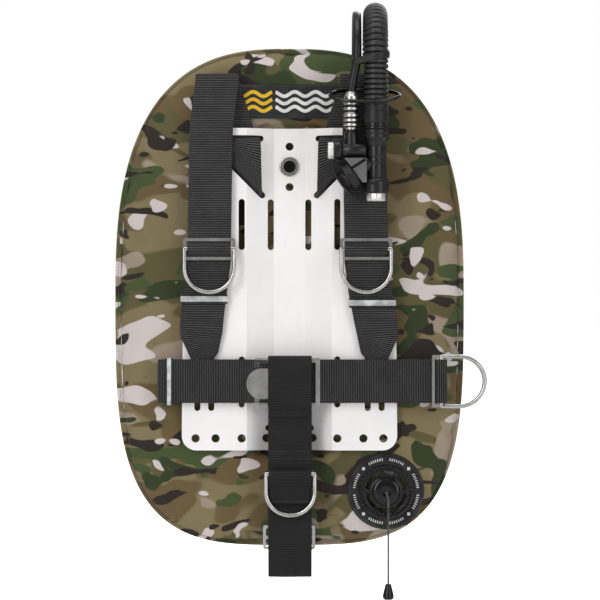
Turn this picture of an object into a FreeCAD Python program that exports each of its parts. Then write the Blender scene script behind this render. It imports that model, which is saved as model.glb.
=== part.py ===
import FreeCAD, Part
import math
import os
import re

import Sketcher

# Technical-diving buoyancy compensator: backplate, one-piece webbing harness and donut wing.
# Frame: millimetres, +X to the diver's left, +Y away from the diver's back (towards the tank),
# +Z up.  The origin is the middle of the backplate on the face that touches the diver.

Vector = FreeCAD.Vector
Rotation = FreeCAD.Rotation
Placement = FreeCAD.Placement

X_AXIS = (1, 0, 0)
Y_AXIS = (0, 1, 0)
Z_AXIS = (0, 0, 1)

# Cutters for holes through the plate are this long, half of it on each side of the flange.
CUTTER_LENGTH = 60.0
# A cutter starts this far outside the face that it opens.
EPSILON = 0.01

DIMENSIONS = {
    # backplate
    "plate_height": 371.0, "plate_bottom_width": 248.0, "plate_top_width": 196.0,
    "plate_shoulder_width": 246.0, "plate_shoulder": -65.0,
    "plate_thickness": 3.0, "plate_corner": 17.0,
    "channel_floor": 36.0, "channel_mouth": 98.0, "channel_depth": 20.0,
    "bolt_spacing": 279.0, "bolt_centre": 2.0, "bolt_hole": 9.0,
    "spine_hole": 9.2, "spine_spacing": 46.7,
    "rim_hole": 9.5, "rim_height": -171.6,
    "slot_width": 7.0, "band_slot_length": 58.6, "band_slot_spacing": 181.2,
    "band_slot_centre": -16.1, "band_slot_outer": 55.0, "band_slot_inner": 21.7,
    "waist_slot_length": 64.4, "waist_slot_height": -107.8,
    "waist_slot_inner": 90.0, "waist_slot_outer": 106.0,
    "shoulder_slot_length": 64.0, "shoulder_slot_height": 173.7, "shoulder_slot_middle": 62.0,
    "slant_slot_length": 77.0, "slant_slot_height": 133.1, "slant_slot_middle": 56.3,
    "crotch_slot_length": 56.0, "crotch_slot_height": -160.0,
    # plate bolts
    "bolt_diameter": 8.0, "bolt_head": 14.0, "bolt_head_height": 5.0, "socket_across": 5.0,
    "socket_depth": 3.0, "washer_diameter": 23.0, "washer_thickness": 1.5,
    "nut_diameter": 22.0, "nut_height": 6.0, "bolt_gap": 0.1,
    # wing
    "wing_half_width": 201.8, "wing_half_height": 287.5, "wing_centre": -8.9,
    "wing_upper_power": 2.7, "wing_lower_power": 3.5,
    "seam_plane": 30.0, "front_crown": 12.0, "back_crown": 50.0,
    "front_floor": 27.5, "back_floor": 32.5, "crown_round": 28.0, "wing_fabric": 1.2,
    "binding_width": 6.0, "binding_edge": 5.0, "binding_core": 7.0,
    "trough_half_width": 66.0, "trough_half_height": 190.0, "bladder_gap": 1.0,
    "valve_opening": 20.3, "valve_pocket": 34.0, "valve_pocket_end": 24.0,
    "elbow_opening": 12.3, "elbow_pocket": 31.0, "elbow_pocket_start": 42.0,
    "grommet_hole": 14.0, "grommet_flange": 22.0, "grommet_sheet": 1.0, "grommet_wall": 2.0,
    "grommet_rise": 1.2,
    "patch_width": 125.0, "patch_height": 39.0, "patch_middle": 216.5, "patch_thickness": 1.2,
    # harness
    "webbing": 50.0, "webbing_thickness": 2.4,
    "strap_layer": -8.0, "belt_layer": -11.0, "belt_height": -105.5,
    "strap_inner": 67.0, "left_strap_shift": -4.0, "shoulder_fold_height": 240.5,
    "keeper_height": 11.0, "strap_stack": 3.0, "belt_stack": 11.8, "belt_keeper_place": -138.0,
    "crotch_middle": 0.6, "crotch_fold_height": -322.7, "crotch_slider_height": -285.5,
    "loop_height": 64.6, "loop_depth": 19.7, "loop_fabric": 2.4, "loop_side": -24.4,
    # rings and sliders
    "ring_wire": 5.0, "ring_half_width": 28.5, "ring_side": 21.0,
    "crotch_ring_half_width": 27.8, "crotch_ring_side": 19.5,
    "slider_bar": 3.0, "slider_rail": 3.5, "slider_length": 60.0, "slider_height": 25.0,
    "slider_corner": 3.0, "hip_slider_width": 13.0, "hip_slider_window": 5.5,
    # buckle
    "buckle_length": 75.0, "buckle_height": 58.6, "buckle_rail": 5.0, "buckle_plate": 2.3,
    "buckle_front": -14.9, "buckle_middle": -2.3, "buckle_level": -108.4,
    "buckle_window": 56.7, "buckle_window_middle": -6.35, "buckle_gap": 5.0,
    "buckle_gap_middle": 27.5, "ear_length": 12.0, "ear_depth": 6.4, "ear_layer": -15.8,
    "lever_pin": 4.0, "lever_hinge": -2.0, "lever_layer": -16.0, "lever_barrel": 3.2,
    "lever_width": 35.0, "lever_plate": 2.0, "lever_tip": -49.4,
    # hoses and inflator
    "hose_radius": 14.0, "hose_bore": 12.1, "hose_line": 99.0, "hose_front": -30.0,
    "hose_back": 68.0, "bend_height": 268.5, "bend_split": 0.3, "hose_end": 182.2,
    "elbow_height": 200.0, "elbow_radius": 12.0, "elbow_bore": 8.5, "elbow_bend": 14.0,
    "elbow_barb": 46.0, "elbow_flange": 25.0, "elbow_sheet": 2.2, "elbow_inside": 44.5,
    "elbow_ring": 24.0, "elbow_ring_height": 3.4, "elbow_ring_place": 50.3,
    "clamp_wall": 1.5, "clamp_height": 6.5, "clamp_place": 182.6,
    "cuff_wall": 1.8, "cuff_height": 15.0, "cuff_place": 190.0,
    "lp_radius": 5.0, "lp_line": 70.6, "lp_top": 77.5, "lp_end": 188.4, "lp_plug": 224.6,
    "lp_hexagon": 9.8, "lp_hexagon_height": 12.0, "lp_hexagon_place": 176.0,
    "ferrule": 6.5, "ferrule_height": 14.0, "lp_thread": 4.76, "lp_thread_length": 10.5,
    "clasp_height": 8.0, "clasp_place": 259.0,
    "bungee_wire": 2.0, "bungee_long": 39.6, "bungee_short": 20.0, "bungee_line": 86.0,
    "bungee_height": 221.0, "bungee_tilt": 23.0,
    "inflator_top": 182.0, "arm_height": 158.4, "arm_radius": 8.5, "arm_length": 40.0,
    "collar_wall": 0.4, "top_collar": 8.7, "low_collar": 16.1, "low_collar_place": 109.5,
    "tube_radius": 10.0, "tube_bore": 8.0, "post_radius": 7.8, "post_height": 17.0,
    "button_ring": 11.2, "button_ring_place": 59.6, "button_ring_length": 9.1,
    "button_seat": 57.0, "inflate_cap": 9.6, "inflate_stem": 4.0,
    "deflate_cap": 10.9, "deflate_height": 13.7, "deflate_place": 100.3,
    "mouth_radius": 12.0, "mouth_bore": 9.0, "mouth_length": 35.0, "grip_radius": 17.0,
    "grip_length": 9.4, "bite_radius": 22.5, "bite_depth": 30.0, "bite_sheet": 3.0,
    "coupling_place": 186.3, "coupling_top": 8.6, "coupling_bore": 7.0,
    "coupling_sleeve": 8.7, "coupling_sleeve_length": 18.0,
    # dump valve
    "valve_x": 111.3, "valve_z": -232.9, "valve_patch": 44.0, "valve_patch_hole": 24.0,
    "valve_patch_sheet": 1.6, "valve_cap": 31.5, "valve_boss": 16.0, "valve_neck": 20.0,
    "valve_bore": 13.0, "valve_flange": 22.3, "valve_window": 14.0, "valve_window_place": 20.6,
    "valve_stem": 2.94, "valve_disc": 15.0,
    "cord": 2.5, "cord_length": 116.0, "cord_low": -354.0, "bead": 13.0, "bead_low": -356.2,
}

doc = FreeCAD.newDocument("BackplateWing")
sheet = doc.addObject("Spreadsheet::Sheet", "Dimensions")
for row, (alias, value) in enumerate(DIMENSIONS.items(), start=1):
    sheet.set(f"A{row}", alias)
    sheet.set(f"B{row}", str(value))
    sheet.setAlias(f"B{row}", alias)
doc.recompute()

sub_parts = []


def dim(alias):
    """A driving dimension, read back from the sheet."""
    return float(sheet.get(alias))


def bound(text):
    """An expression in which every alias points at its cell of the sheet."""
    return re.sub(r"[a-z_]+", lambda word: "Dimensions." + word.group(), text)


def value_of(text):
    """The number that a size expression stands for now."""
    return float(FreeCAD.Units.parseQuantity(
        re.sub(r"[a-z_]+", lambda word: str(dim(word.group())), str(text))).Value)


def bind(thing, **sizes):
    """Bind properties to sheet expressions; a plain number is a fixed size."""
    for name, size in sizes.items():
        if isinstance(size, str):
            thing.setExpression(name, bound(size))
        else:
            setattr(thing, name, size)
    return thing


def sub_part(thing, label):
    """Give a finished piece the name of its node and keep it for the export."""
    thing.Label = label
    sub_parts.append(thing)
    return thing


def along(base, axis):
    """A placement that turns +Z onto an axis and moves the origin to a base point."""
    return Placement(Vector(*base), Rotation(Vector(0, 0, 1), Vector(*axis)))


# ---------------------------------------------------------------- primitives and booleans

def cylinder(radius, height, base=(0, 0, 0), axis=Z_AXIS):
    thing = bind(doc.addObject("Part::Cylinder", "Cylinder"), Radius=radius, Height=height)
    thing.Placement = along(base, axis)
    return thing


def cone(radius, end_radius, height, base, axis):
    thing = doc.addObject("Part::Cone", "Cone")
    bind(thing, Radius1=radius, Radius2=end_radius, Height=height)
    thing.Placement = along(base, axis)
    return thing


def sphere(radius, centre):
    thing = bind(doc.addObject("Part::Sphere", "Sphere"), Radius=radius)
    thing.Placement.Base = Vector(*centre)
    return thing


def box(length, width, height, centre, rotation=None):
    """A box given by its sizes along X, Y and Z and its centre."""
    thing = bind(doc.addObject("Part::Box", "Box"), Length=length, Width=width, Height=height)
    half = Vector(value_of(length), value_of(width), value_of(height)) * 0.5
    turn = rotation or Rotation()
    thing.Placement = Placement(Vector(*centre) - turn.multVec(half), turn)
    return thing


def fuse(*things):
    thing = doc.addObject("Part::MultiFuse", "Fusion")
    thing.Shapes = list(things)
    return thing


def cut(base, *tools):
    thing = doc.addObject("Part::Cut", "Cut")
    thing.Base = base
    thing.Tool = tools[0] if len(tools) == 1 else fuse(*tools)
    return thing


def ring(outer, inner, height, base, axis=Z_AXIS):
    """A plain tube: washers, clamps, cuffs and collars."""
    step = [0.5 * part for part in axis]
    low = [start - move for start, move in zip(base, step)]
    longer = f"{height} + 1" if isinstance(height, str) else height + 1
    return cut(cylinder(outer, height, base, axis), cylinder(inner, longer, low, axis))


def slot_tool(length, centre, direction=Z_AXIS):
    """Cutter for a stadium-shaped slot, its length along a direction at right angles to Y."""
    reach = 0.5 * (value_of(length) - dim("slot_width"))
    middle = Vector(*centre)
    turn = Rotation(Vector(0, 0, 1), Vector(*direction))
    things = [box("slot_width", CUTTER_LENGTH, f"{length} - slot_width", centre, turn)]
    for sign in (-1, 1):
        end = middle + Vector(*direction) * (sign * reach) - Vector(0, 0.5 * CUTTER_LENGTH, 0)
        things.append(cylinder("slot_width / 2", CUTTER_LENGTH, tuple(end), Y_AXIS))
    return fuse(*things)


# ---------------------------------------------------------------- sketched bodies

def new_sketch(body, role):
    sketch = body.newObject("Sketcher::SketchObject", "Sketch")
    plane = next(item for item in body.Origin.OriginFeatures if item.Role == role)
    sketch.AttachmentSupport = [(plane, "")]
    sketch.MapMode = "FlatFace"
    return sketch


def draw_polygon(sketch, corners):
    """A closed outline whose corners are bound to the sheet, each given as (x, y) sizes."""
    points = [Vector(value_of(x), value_of(y), 0) for x, y in corners]
    first = sketch.GeometryCount
    count = len(points)
    for index in range(count):
        sketch.addGeometry(Part.LineSegment(points[index], points[(index + 1) % count]))
    for index in range(count):
        following = first + (index + 1) % count
        sketch.addConstraint(Sketcher.Constraint("Coincident", first + index, 2, following, 1))
    for index, corner in enumerate(corners):
        for kind, size in zip(("DistanceX", "DistanceY"), corner):
            rule = Sketcher.Constraint(kind, -1, 1, first + index, 1, value_of(size))
            number = sketch.addConstraint(rule)
            if isinstance(size, str):
                sketch.setExpression(f"Constraints[{number}]", bound(size))


def padded(label, role, corners, length):
    """A body padded both ways from its sketch plane."""
    body = doc.addObject("PartDesign::Body", "Body")
    sketch = new_sketch(body, role)
    draw_polygon(sketch, corners)
    pad = body.newObject("PartDesign::Pad", "Pad")
    pad.Profile = sketch
    pad.Midplane = True
    bind(pad, Length=length)
    body.Label = label
    doc.recompute()
    return body


def turned(profile, base, axis=Z_AXIS):
    """A body turned about its own Z axis from a profile of (radius, height) corners."""
    body = doc.addObject("PartDesign::Body", "Body")
    sketch = new_sketch(body, "XZ_Plane")
    draw_polygon(sketch, profile)
    turn = body.newObject("PartDesign::Revolution", "Revolution")
    turn.Profile = sketch
    turn.ReferenceAxis = (sketch, ["V_Axis"])
    turn.Angle = 360.0
    doc.recompute()
    body.Placement = along(base, axis)
    return body


# ---------------------------------------------------------------- swept and lofted shapes

def feature(label, shape):
    """A sub-part whose shape comes straight from Part functions."""
    thing = doc.addObject("Part::Feature", "Feature")
    thing.Shape = shape
    return sub_part(thing, label)


def arc(centre, radius, start, end, steps=8):
    """Points on a circle in a plane, between two angles in degrees."""
    angles = [math.radians(start + (end - start) * step / steps) for step in range(steps + 1)]
    return [(centre[0] + radius * math.cos(a), centre[1] + radius * math.sin(a)) for a in angles]


def ribbon(path, thickness):
    """Outline points of a flat strip that follows a path in a plane."""
    sides = ([], [])
    for index, point in enumerate(path):
        before = path[max(index - 1, 0)]
        after = path[min(index + 1, len(path) - 1)]
        run = (after[0] - before[0], after[1] - before[1])
        length = math.hypot(*run)
        across = (-run[1] / length * thickness / 2, run[0] / length * thickness / 2)
        sides[0].append((point[0] + across[0], point[1] + across[1]))
        sides[1].append((point[0] - across[0], point[1] - across[1]))
    return sides[0] + sides[1][::-1]


def webbing_across_z(path, height, width):
    """Webbing whose path lies in the XY plane, such as a belt, at a height."""
    outline = [Vector(x, y, height - width / 2) for x, y in ribbon(path, dim("webbing_thickness"))]
    face = Part.Face(Part.makePolygon(outline + outline[:1]))
    return face.extrude(Vector(0, 0, width))


def webbing_across_x(path, middle, width):
    """Webbing whose path lies in the YZ plane, such as a crotch strap."""
    outline = [Vector(middle - width / 2, y, z) for y, z in ribbon(path, dim("webbing_thickness"))]
    face = Part.Face(Part.makePolygon(outline + outline[:1]))
    return face.extrude(Vector(width, 0, 0))


def webbing_loft(stations):
    """Webbing through stations, each the two edge points of its middle surface."""
    half = dim("webbing_thickness") / 2
    middles = [(left + right) * 0.5 for left, right in stations]
    wires = []
    for index, (left, right) in enumerate(stations):
        run = middles[min(index + 1, len(middles) - 1)] - middles[max(index - 1, 0)]
        normal = run.cross(right - left).normalize() * half
        corners = [left + normal, right + normal, right - normal, left - normal]
        wires.append(Part.makePolygon(corners + corners[:1]))
    return Part.makeLoft(wires, True, True)


def spring(radius, wire, length, turns, base, axis):
    """A round-wire compression spring."""
    helix = Part.makeHelix((length - wire) / turns, length - wire, radius)
    profile = Part.Wire(Part.makeCircle(wire / 2, Vector(radius, 0, 0), Vector(0, 1, 0)))
    shape = Part.Wire(helix).makePipeShell([profile], True, True)
    shape.Placement = along(base, axis).multiply(Placement(Vector(0, 0, wire / 2), Rotation()))
    return shape


# ---------------------------------------------------------------- backplate and its bolts

# Distances of the bottom rim's holes from the middle.
RIM_HOLES = (26.5, 55.0, 85.0, 108.0)


def bend_shift():
    """How far a bend moves sideways between the front and back faces of the sheet metal."""
    run = (dim("channel_mouth") - dim("channel_floor")) / 2
    return dim("plate_thickness") * math.tan(math.atan2(dim("channel_depth"), run) / 2)


def backplate():
    shift = round(bend_shift(), 3)
    side, mouth, floor = "plate_bottom_width / 2", "channel_mouth / 2", "channel_floor / 2"
    deep = "channel_depth + plate_thickness"
    front = [(side, 0), (mouth, 0), (floor, "channel_depth")]
    back = [(f"{floor} + {shift}", deep), (f"{mouth} + {shift}", "plate_thickness"),
            (side, "plate_thickness")]
    mirrored = [(f"-({x})", y) for x, y in front[::-1]]
    mirrored_back = [(f"-({x})", y) for x, y in back[::-1]]
    sheet_metal = padded("bent_sheet", "XY_Plane", front + mirrored + mirrored_back + back,
                         "plate_height")
    trim = sheet_metal.newObject("PartDesign::Pocket", "Trim")
    sketch = new_sketch(sheet_metal, "XZ_Plane")
    for sign in ("", "-"):
        draw_polygon(sketch, [
            (f"{sign}(plate_bottom_width / 2)", "-plate_height / 2"),
            (f"{sign}(plate_bottom_width / 2 + 10)", "plate_height / 2 + 10"),
            (f"{sign}(plate_top_width / 2)", "plate_height / 2 + 10"),
            (f"{sign}(plate_top_width / 2)", "plate_height / 2"),
            (f"{sign}(plate_shoulder_width / 2)", "plate_shoulder")])
    trim.Profile = sketch
    trim.Type = "ThroughAll"
    trim.Midplane = True
    before = sheet_metal.Shape.Volume
    doc.recompute()
    if sheet_metal.Shape.Volume >= before:
        raise RuntimeError("the plate's side trim removed nothing")
    corners = [f"Edge{number}" for number, edge in enumerate(sheet_metal.Shape.Edges, start=1)
               if is_outer_corner(edge)]
    rounding = sheet_metal.newObject("PartDesign::Fillet", "Corners")
    rounding.Base = (trim, corners)
    bind(rounding, Radius="plate_corner")
    doc.recompute()
    return sub_part(cut(sheet_metal, *plate_openings()), "backplate")


def is_outer_corner(edge):
    """True for the four short edges where the plate's flanges have their outer corners."""
    start, end = edge.Vertexes[0].Point, edge.Vertexes[-1].Point
    beside = abs(start.x) > dim("channel_mouth") / 2 + 10
    at_end = abs(abs(start.z) - dim("plate_height") / 2) < 0.5
    return beside and at_end and abs(start.x - end.x) < 0.01 and abs(start.z - end.z) < 0.01


def plate_openings():
    """Cutters for every slot and hole, those beside the channel made once for each side."""
    start = -CUTTER_LENGTH / 2
    tools = []
    for sign in (-1, 1):
        for offset in ("band_slot_outer", "band_slot_inner"):
            for end in (-0.5, 0.5):
                height = dim("band_slot_centre") + end * dim("band_slot_spacing")
                tools.append(slot_tool("band_slot_length", (sign * dim(offset), 0, height)))
        for offset in ("waist_slot_inner", "waist_slot_outer"):
            place = (sign * dim(offset), 0, dim("waist_slot_height"))
            tools.append(slot_tool("waist_slot_length", place))
        place = (sign * dim("shoulder_slot_middle"), 0, dim("shoulder_slot_height"))
        tools.append(slot_tool("shoulder_slot_length", place, X_AXIS))
        place = (sign * dim("slant_slot_middle"), 0, dim("slant_slot_height"))
        slant = (sign * math.sqrt(0.5), 0, math.sqrt(0.5))
        tools.append(slot_tool("slant_slot_length", place, slant))
        for offset in RIM_HOLES:
            place = (sign * offset, start, dim("rim_height"))
            tools.append(cylinder("rim_hole / 2", CUTTER_LENGTH, place, Y_AXIS))
    tools.append(slot_tool("crotch_slot_length", (0, 0, dim("crotch_slot_height")), X_AXIS))
    upper_bolt = dim("bolt_centre") + dim("bolt_spacing") / 2
    for height in bolt_heights():
        tools.append(cylinder("bolt_hole / 2", CUTTER_LENGTH, (0, start, height), Y_AXIS))
    for sign in (-1, 1):
        height = upper_bolt + sign * dim("spine_spacing") / 2
        tools.append(cylinder("spine_hole / 2", CUTTER_LENGTH, (0, start, height), Y_AXIS))
    return tools


def bolt_heights():
    middle, half = dim("bolt_centre"), dim("bolt_spacing") / 2
    return (middle - half, middle + half)


def bolt_set():
    """Two bolts, washers and nuts that clamp the wing between plate and tank."""
    gap = dim("bolt_gap")
    washer_front = dim("channel_depth") - gap - dim("washer_thickness")
    head_back = washer_front - gap
    head_front = head_back - dim("bolt_head_height")
    nut_front = dim("back_floor") + dim("grommet_rise") + 2 * gap
    buried, recess = 0.5, 1.5
    shank_start = head_back - buried
    shank_length = nut_front + dim("nut_height") - recess - shank_start
    bolts, washers, nuts = [], [], []
    for height in bolt_heights():
        head = cylinder("bolt_head / 2", "bolt_head_height", (0, head_front, height), Y_AXIS)
        shank = cylinder("bolt_diameter / 2", shank_length, (0, shank_start, height), Y_AXIS)
        socket = hexagon("socket_across", "socket_depth", (0, head_front - EPSILON, height))
        bolts.append(cut(fuse(head, shank), socket))
        washers.append(ring("washer_diameter / 2", "bolt_diameter / 2 + 3 * bolt_gap",
                            "washer_thickness", (0, washer_front, height), Y_AXIS))
        nuts.append(ring("nut_diameter / 2", "bolt_diameter / 2 + bolt_gap / 2", "nut_height",
                         (0, nut_front, height), Y_AXIS))
    sub_part(fuse(*bolts), "plate_bolts")
    sub_part(fuse(*washers), "plate_bolt_washers")
    sub_part(fuse(*nuts), "plate_bolt_nuts")


def hexagon(across, depth, base):
    """Cutter for a hexagonal socket, its depth along +Y."""
    thing = doc.addObject("Part::Prism", "Prism")
    bind(thing, Circumradius=f"{across} / 2 / 0.866", Height=depth)
    thing.Polygon = 6
    thing.Placement = along(base, Y_AXIS)
    return thing


# ---------------------------------------------------------------- wing

WING_POINTS = 56


def wing_outline(inset, depth):
    """The wing's rounded outline: half a superellipse above its middle, a squarer one below."""
    across = dim("wing_half_width") - inset
    upright = dim("wing_half_height") - inset
    points = []
    for step in range(WING_POINTS):
        angle = 2 * math.pi * step / WING_POINTS
        c, s = math.cos(angle), math.sin(angle)
        power = 2 / dim("wing_upper_power" if s >= 0 else "wing_lower_power")
        x = math.copysign(abs(c) ** power, c) * across
        z = math.copysign(abs(s) ** power, s) * upright + dim("wing_centre")
        points.append(Vector(x, depth, z))
    curve = Part.BSplineCurve()
    curve.interpolate(Points=points, PeriodicFlag=True)
    return Part.Wire(curve.toShape())


def wing_half(crown, skin, edge):
    """Solid half of the wing from the seam plane to one crown, skin millimetres further in."""
    seam = dim("seam_plane")
    rise = crown - seam
    sign = math.copysign(1, rise)
    steps = 4
    wires = []
    for step in range(steps + 1):
        angle = math.radians(90 * step / steps)
        depth = seam + (rise - sign * skin) * math.sin(angle)
        inset = edge + skin + dim("crown_round") * (1 - math.cos(angle))
        wires.append(wing_outline(inset, depth))
    return Part.makeLoft(wires, True, True)


def trough(floor, outside, grow=0.0):
    """The flat centre panel's recess, from a floor plane out through one crown."""
    half_x = dim("trough_half_width") + grow
    half_z = dim("trough_half_height") + grow
    low, high = sorted((floor, outside))
    return Part.makeBox(2 * half_x, high - low, 2 * half_z, Vector(-half_x, low, -half_z))


def hole_along_y(radius, x, z, low=-20.0, high=90.0):
    return Part.makeCylinder(radius, high - low, Vector(x, low, z), Vector(0, 1, 0))


def wing_panel(label, crown, floor, opening):
    """One fabric panel: a thin shell with the centre recess and its openings."""
    skin = dim("wing_fabric")
    inward = math.copysign(skin, dim("seam_plane") - crown)
    far = crown - 5 * inward
    edge = dim("binding_width") + 0.2
    outer = wing_half(crown, 0.0, edge).cut(trough(floor, far))
    inner = wing_half(crown, skin, edge).cut(trough(floor + inward, far, skin))
    shell = outer.cut(inner)
    for height in bolt_heights():
        shell = shell.cut(hole_along_y(dim("grommet_hole") / 2, 0, height))
    return feature(label, shell.cut(opening))


def wing():
    valve_neck = hole_along_y(dim("valve_opening"), dim("valve_x"), dim("valve_z"))
    elbow_neck = hole_along_y(dim("elbow_opening"), dim("hose_line"), dim("elbow_height"))
    wing_panel("wing_front_panel", dim("front_crown"), dim("front_floor"), valve_neck)
    wing_panel("wing_back_panel", dim("back_crown"), dim("back_floor"), elbow_neck)
    bladder()
    binding()
    grommets()
    patch_layer = dim("front_crown") - dim("patch_thickness") / 2 - 0.2
    patch = box("patch_width", "patch_thickness", "patch_height",
                (0, patch_layer, dim("patch_middle")))
    sub_part(patch, "wing_patch")


def bladder():
    """The air cell inside the panels, open round the valve's and the elbow's fittings."""
    gap = dim("wing_fabric") + dim("bladder_gap")
    edge = dim("binding_width") + 2.0
    halves = [wing_half(dim(crown), gap, edge) for crown in ("front_crown", "back_crown")]
    front, back = 0.0, 90.0
    cell = halves[0].fuse(halves[1]).cut(trough(front, back, gap))
    cell = cell.cut(hole_along_y(dim("valve_pocket"), dim("valve_x"), dim("valve_z"),
                                 front, dim("valve_pocket_end")))
    cell = cell.cut(hole_along_y(dim("elbow_pocket"), dim("hose_line"), dim("elbow_height"),
                                 dim("elbow_pocket_start"), back))
    return feature("wing_bladder", cell)


def binding():
    """The sewn flange round the wing, a closed band of one width."""
    rims = []
    for inset, tall in ((0.0, "binding_edge"), (dim("binding_width"), "binding_core")):
        low, high = (dim("seam_plane") + sign * dim(tall) / 2 for sign in (-1, 1))
        rims.append(Part.makeLoft([wing_outline(inset, low), wing_outline(inset, high)], True, True))
    return feature("wing_edge_binding", rims[0].cut(rims[1]))


def grommets():
    """Flanged eyelets that the two plate bolts pass through."""
    flange, sheet_metal = dim("grommet_flange") / 2, dim("grommet_sheet")
    barrel = dim("grommet_hole") / 2 - 0.1
    bore = barrel - dim("grommet_wall")
    tall = dim("back_floor") - dim("front_floor") + 2 * dim("grommet_rise")
    profile = [(bore, 0), (flange, 0), (flange, sheet_metal), (barrel, sheet_metal),
               (barrel, tall - sheet_metal), (flange, tall - sheet_metal), (flange, tall),
               (bore, tall)]
    front = dim("front_floor") - dim("grommet_rise")
    eyelets = [turned(profile, (0, front, height), Y_AXIS) for height in bolt_heights()]
    return sub_part(fuse(*eyelets), "wing_grommets")


# ---------------------------------------------------------------- harness webbing

CHEST_HEIGHT = 46.0
HIP_PLACE = 174.0
CROTCH_BAR = (-23.5, -211.5)
FOLD_RADIUS = 7.0

# Depths of the webbing's middle surface: just ahead of the plate's flange, just behind it, and
# in the belt's rear layer.
AHEAD = -1.8
BEHIND = 4.8
BELT_REAR = -2.0
# Webbing in a slot keeps this far from the slot's middle line.
SLOT_EDGE = 2.5


def over_bars(across, layer):
    """Path of webbing over a slider's middle bar and a ring lying on it, as (place, depth)."""
    foot, bar, rise = 8.0, 2.9, 11.1
    near = [(across - foot - 5, layer), (across - foot, layer), (across - bar, layer - rise)]
    return near + [(2 * across - place, depth) for place, depth in reversed(near)]


def behind_the_plate():
    """Edge points of a shoulder strap's tail, of both slots and of its way up behind the plate."""
    top = dim("shoulder_slot_height")
    return [((31.6, 18.0, 94.0), (81.0, 5.4, 143.0)),
            ((31.6, 16.5, 105.9), (81.1, 4.9, 155.3)),
            ((31.6, AHEAD, 110.9), (81.1, AHEAD, 160.3)),
            ((33.0, AHEAD, top - SLOT_EDGE), (83.0, AHEAD, top - SLOT_EDGE)),
            ((36.0, 14.6, top + SLOT_EDGE), (86.0, 4.9, top + SLOT_EDGE)),
            ((42.3, 9.7, 188.0), (92.3, 5.4, 188.0))]


def into_the_waist_slot():
    """Edge points where a shoulder strap narrows, turns and enters the waist slot."""
    middle = dim("waist_slot_height")
    low, high = middle - dim("webbing") / 2 - 0.2, middle + dim("webbing") / 2 - 0.2
    slot = dim("waist_slot_inner")
    return [((77.0, -6.6, -50.0), (126.0, -6.6, -52.0)),
            ((82.0, -5.2, -74.0), (109.0, -5.2, -90.0)),
            ((slot + SLOT_EDGE, AHEAD, high), (slot + SLOT_EDGE, AHEAD, low)),
            ((slot - SLOT_EDGE, BEHIND, high), (slot - SLOT_EDGE, BEHIND, low)),
            ((slot - 8.0, BEHIND + 0.4, high), (slot - 8.0, BEHIND + 0.4, low))]


def shoulder_strap(label, side, shift):
    """Shoulder webbing from the plate's top slots over the shoulder to the waist slot."""
    front = dim("strap_layer")
    centre = (front + FOLD_RADIUS, dim("shoulder_fold_height"))
    fold = [(58.0, depth, height) for depth, height in arc(centre, FOLD_RADIUS, 0, 180, 6)]
    inner = dim("strap_inner") + shift
    chest = [(inner - 2, front, 183.0)]
    chest += [(inner, depth, height) for height, depth in reversed(over_bars(CHEST_HEIGHT, front))]
    chest += [(inner + 5, front, -5.5), (inner + 8.5 - shift / 2, front, -34.0)]
    edges = behind_the_plate()
    edges += [((x, y, z), (x + dim("webbing"), y, z)) for x, y, z in fold + chest]
    edges += into_the_waist_slot()
    stations = [tuple(Vector(side * x, y, z) for x, y, z in pair) for pair in edges]
    return feature(label, webbing_loft(stations))


def belt_start():
    """The belt's rear layer, from behind the waist slot to the outside of the plate."""
    slot = dim("waist_slot_outer")
    return [(slot - 9, BEHIND + 0.4), (slot - SLOT_EDGE, BEHIND), (slot + SLOT_EDGE, AHEAD),
            (slot + 9, BELT_REAR)]


def plain_fold(fold):
    """The belt turned back on itself, its outside at a given distance from the middle."""
    radius = (BELT_REAR - dim("belt_layer")) / 2
    centre = fold - dim("webbing_thickness") / 2 - radius
    return arc((centre, BELT_REAR - radius), radius, 90, -90, 8)


def ring_fold():
    """The belt turned back around the hip ring's bar and under the hip slider's near bar."""
    middle = (HIP_PLACE - 1.0, -12.4)
    half_wide, half_deep = 6.8, 10.4
    path = [(middle[0] + half_wide * x, middle[1] + half_deep * y)
            for x, y in arc((0, 0), 1.0, 90, -90, 8)]
    near = dim("belt_layer")
    return path + [(HIP_PLACE - 3.2, -22.3), (HIP_PLACE - 5.6, near - 2.0),
                   (HIP_PLACE - 7.2, near - 0.2), (HIP_PLACE - 14.0, near)]


def waist_belt(label, side, turn, end):
    """Belt from the waist slot out to its fold and back in front to the buckle."""
    path = [(side * x, y) for x, y in belt_start() + turn + [(end, dim("belt_layer"))]]
    return feature(label, webbing_across_z(path, dim("belt_height"), dim("webbing")))


def crotch_strap():
    """Strap doubled through its bottom fold; its upper end is bolted behind the plate."""
    slider, bottom = dim("crotch_slider_height"), dim("crotch_fold_height")
    lift, window, foot = 6.0, 3.5, 9.0
    over_slider = [(0.0, slider - foot), (lift, slider - window), (lift, slider + window),
                   (0.0, slider + foot)]
    behind_plate = [(-2.4, -196.0), (-2.0, -184.0), (13.2, -161.8), (22.9, -158.8),
                    (24.4, -157.0), (24.9, -154.0), (24.9, -121.0)]
    fold = arc((-FOLD_RADIUS, bottom), FOLD_RADIUS, 180, 360, 8)
    path = [(-2 * FOLD_RADIUS, -140.8)] + fold + over_slider + behind_plate
    shape = webbing_across_x(path, dim("crotch_middle"), dim("webbing"))
    shape = shape.cut(hole_along_y(dim("bolt_diameter") / 2 + 0.5, 0, bolt_heights()[0]))
    return feature("crotch_strap", shape)


def crotch_ring_flap():
    """Short webbing sewn to the strap's front and folded over the crotch ring's bar."""
    path = [(-16.8, -245.0), (-16.8, -224.0)] + arc(CROTCH_BAR, 4.0, 0, 180, 8)
    path += [(-26.6, CROTCH_BAR[1] - 4.0), (-19.5, -228.0), (-19.4, -245.0)]
    shape = webbing_across_x(path, dim("crotch_middle"), dim("webbing") - 1)
    return feature("crotch_ring_flap", shape)


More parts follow.
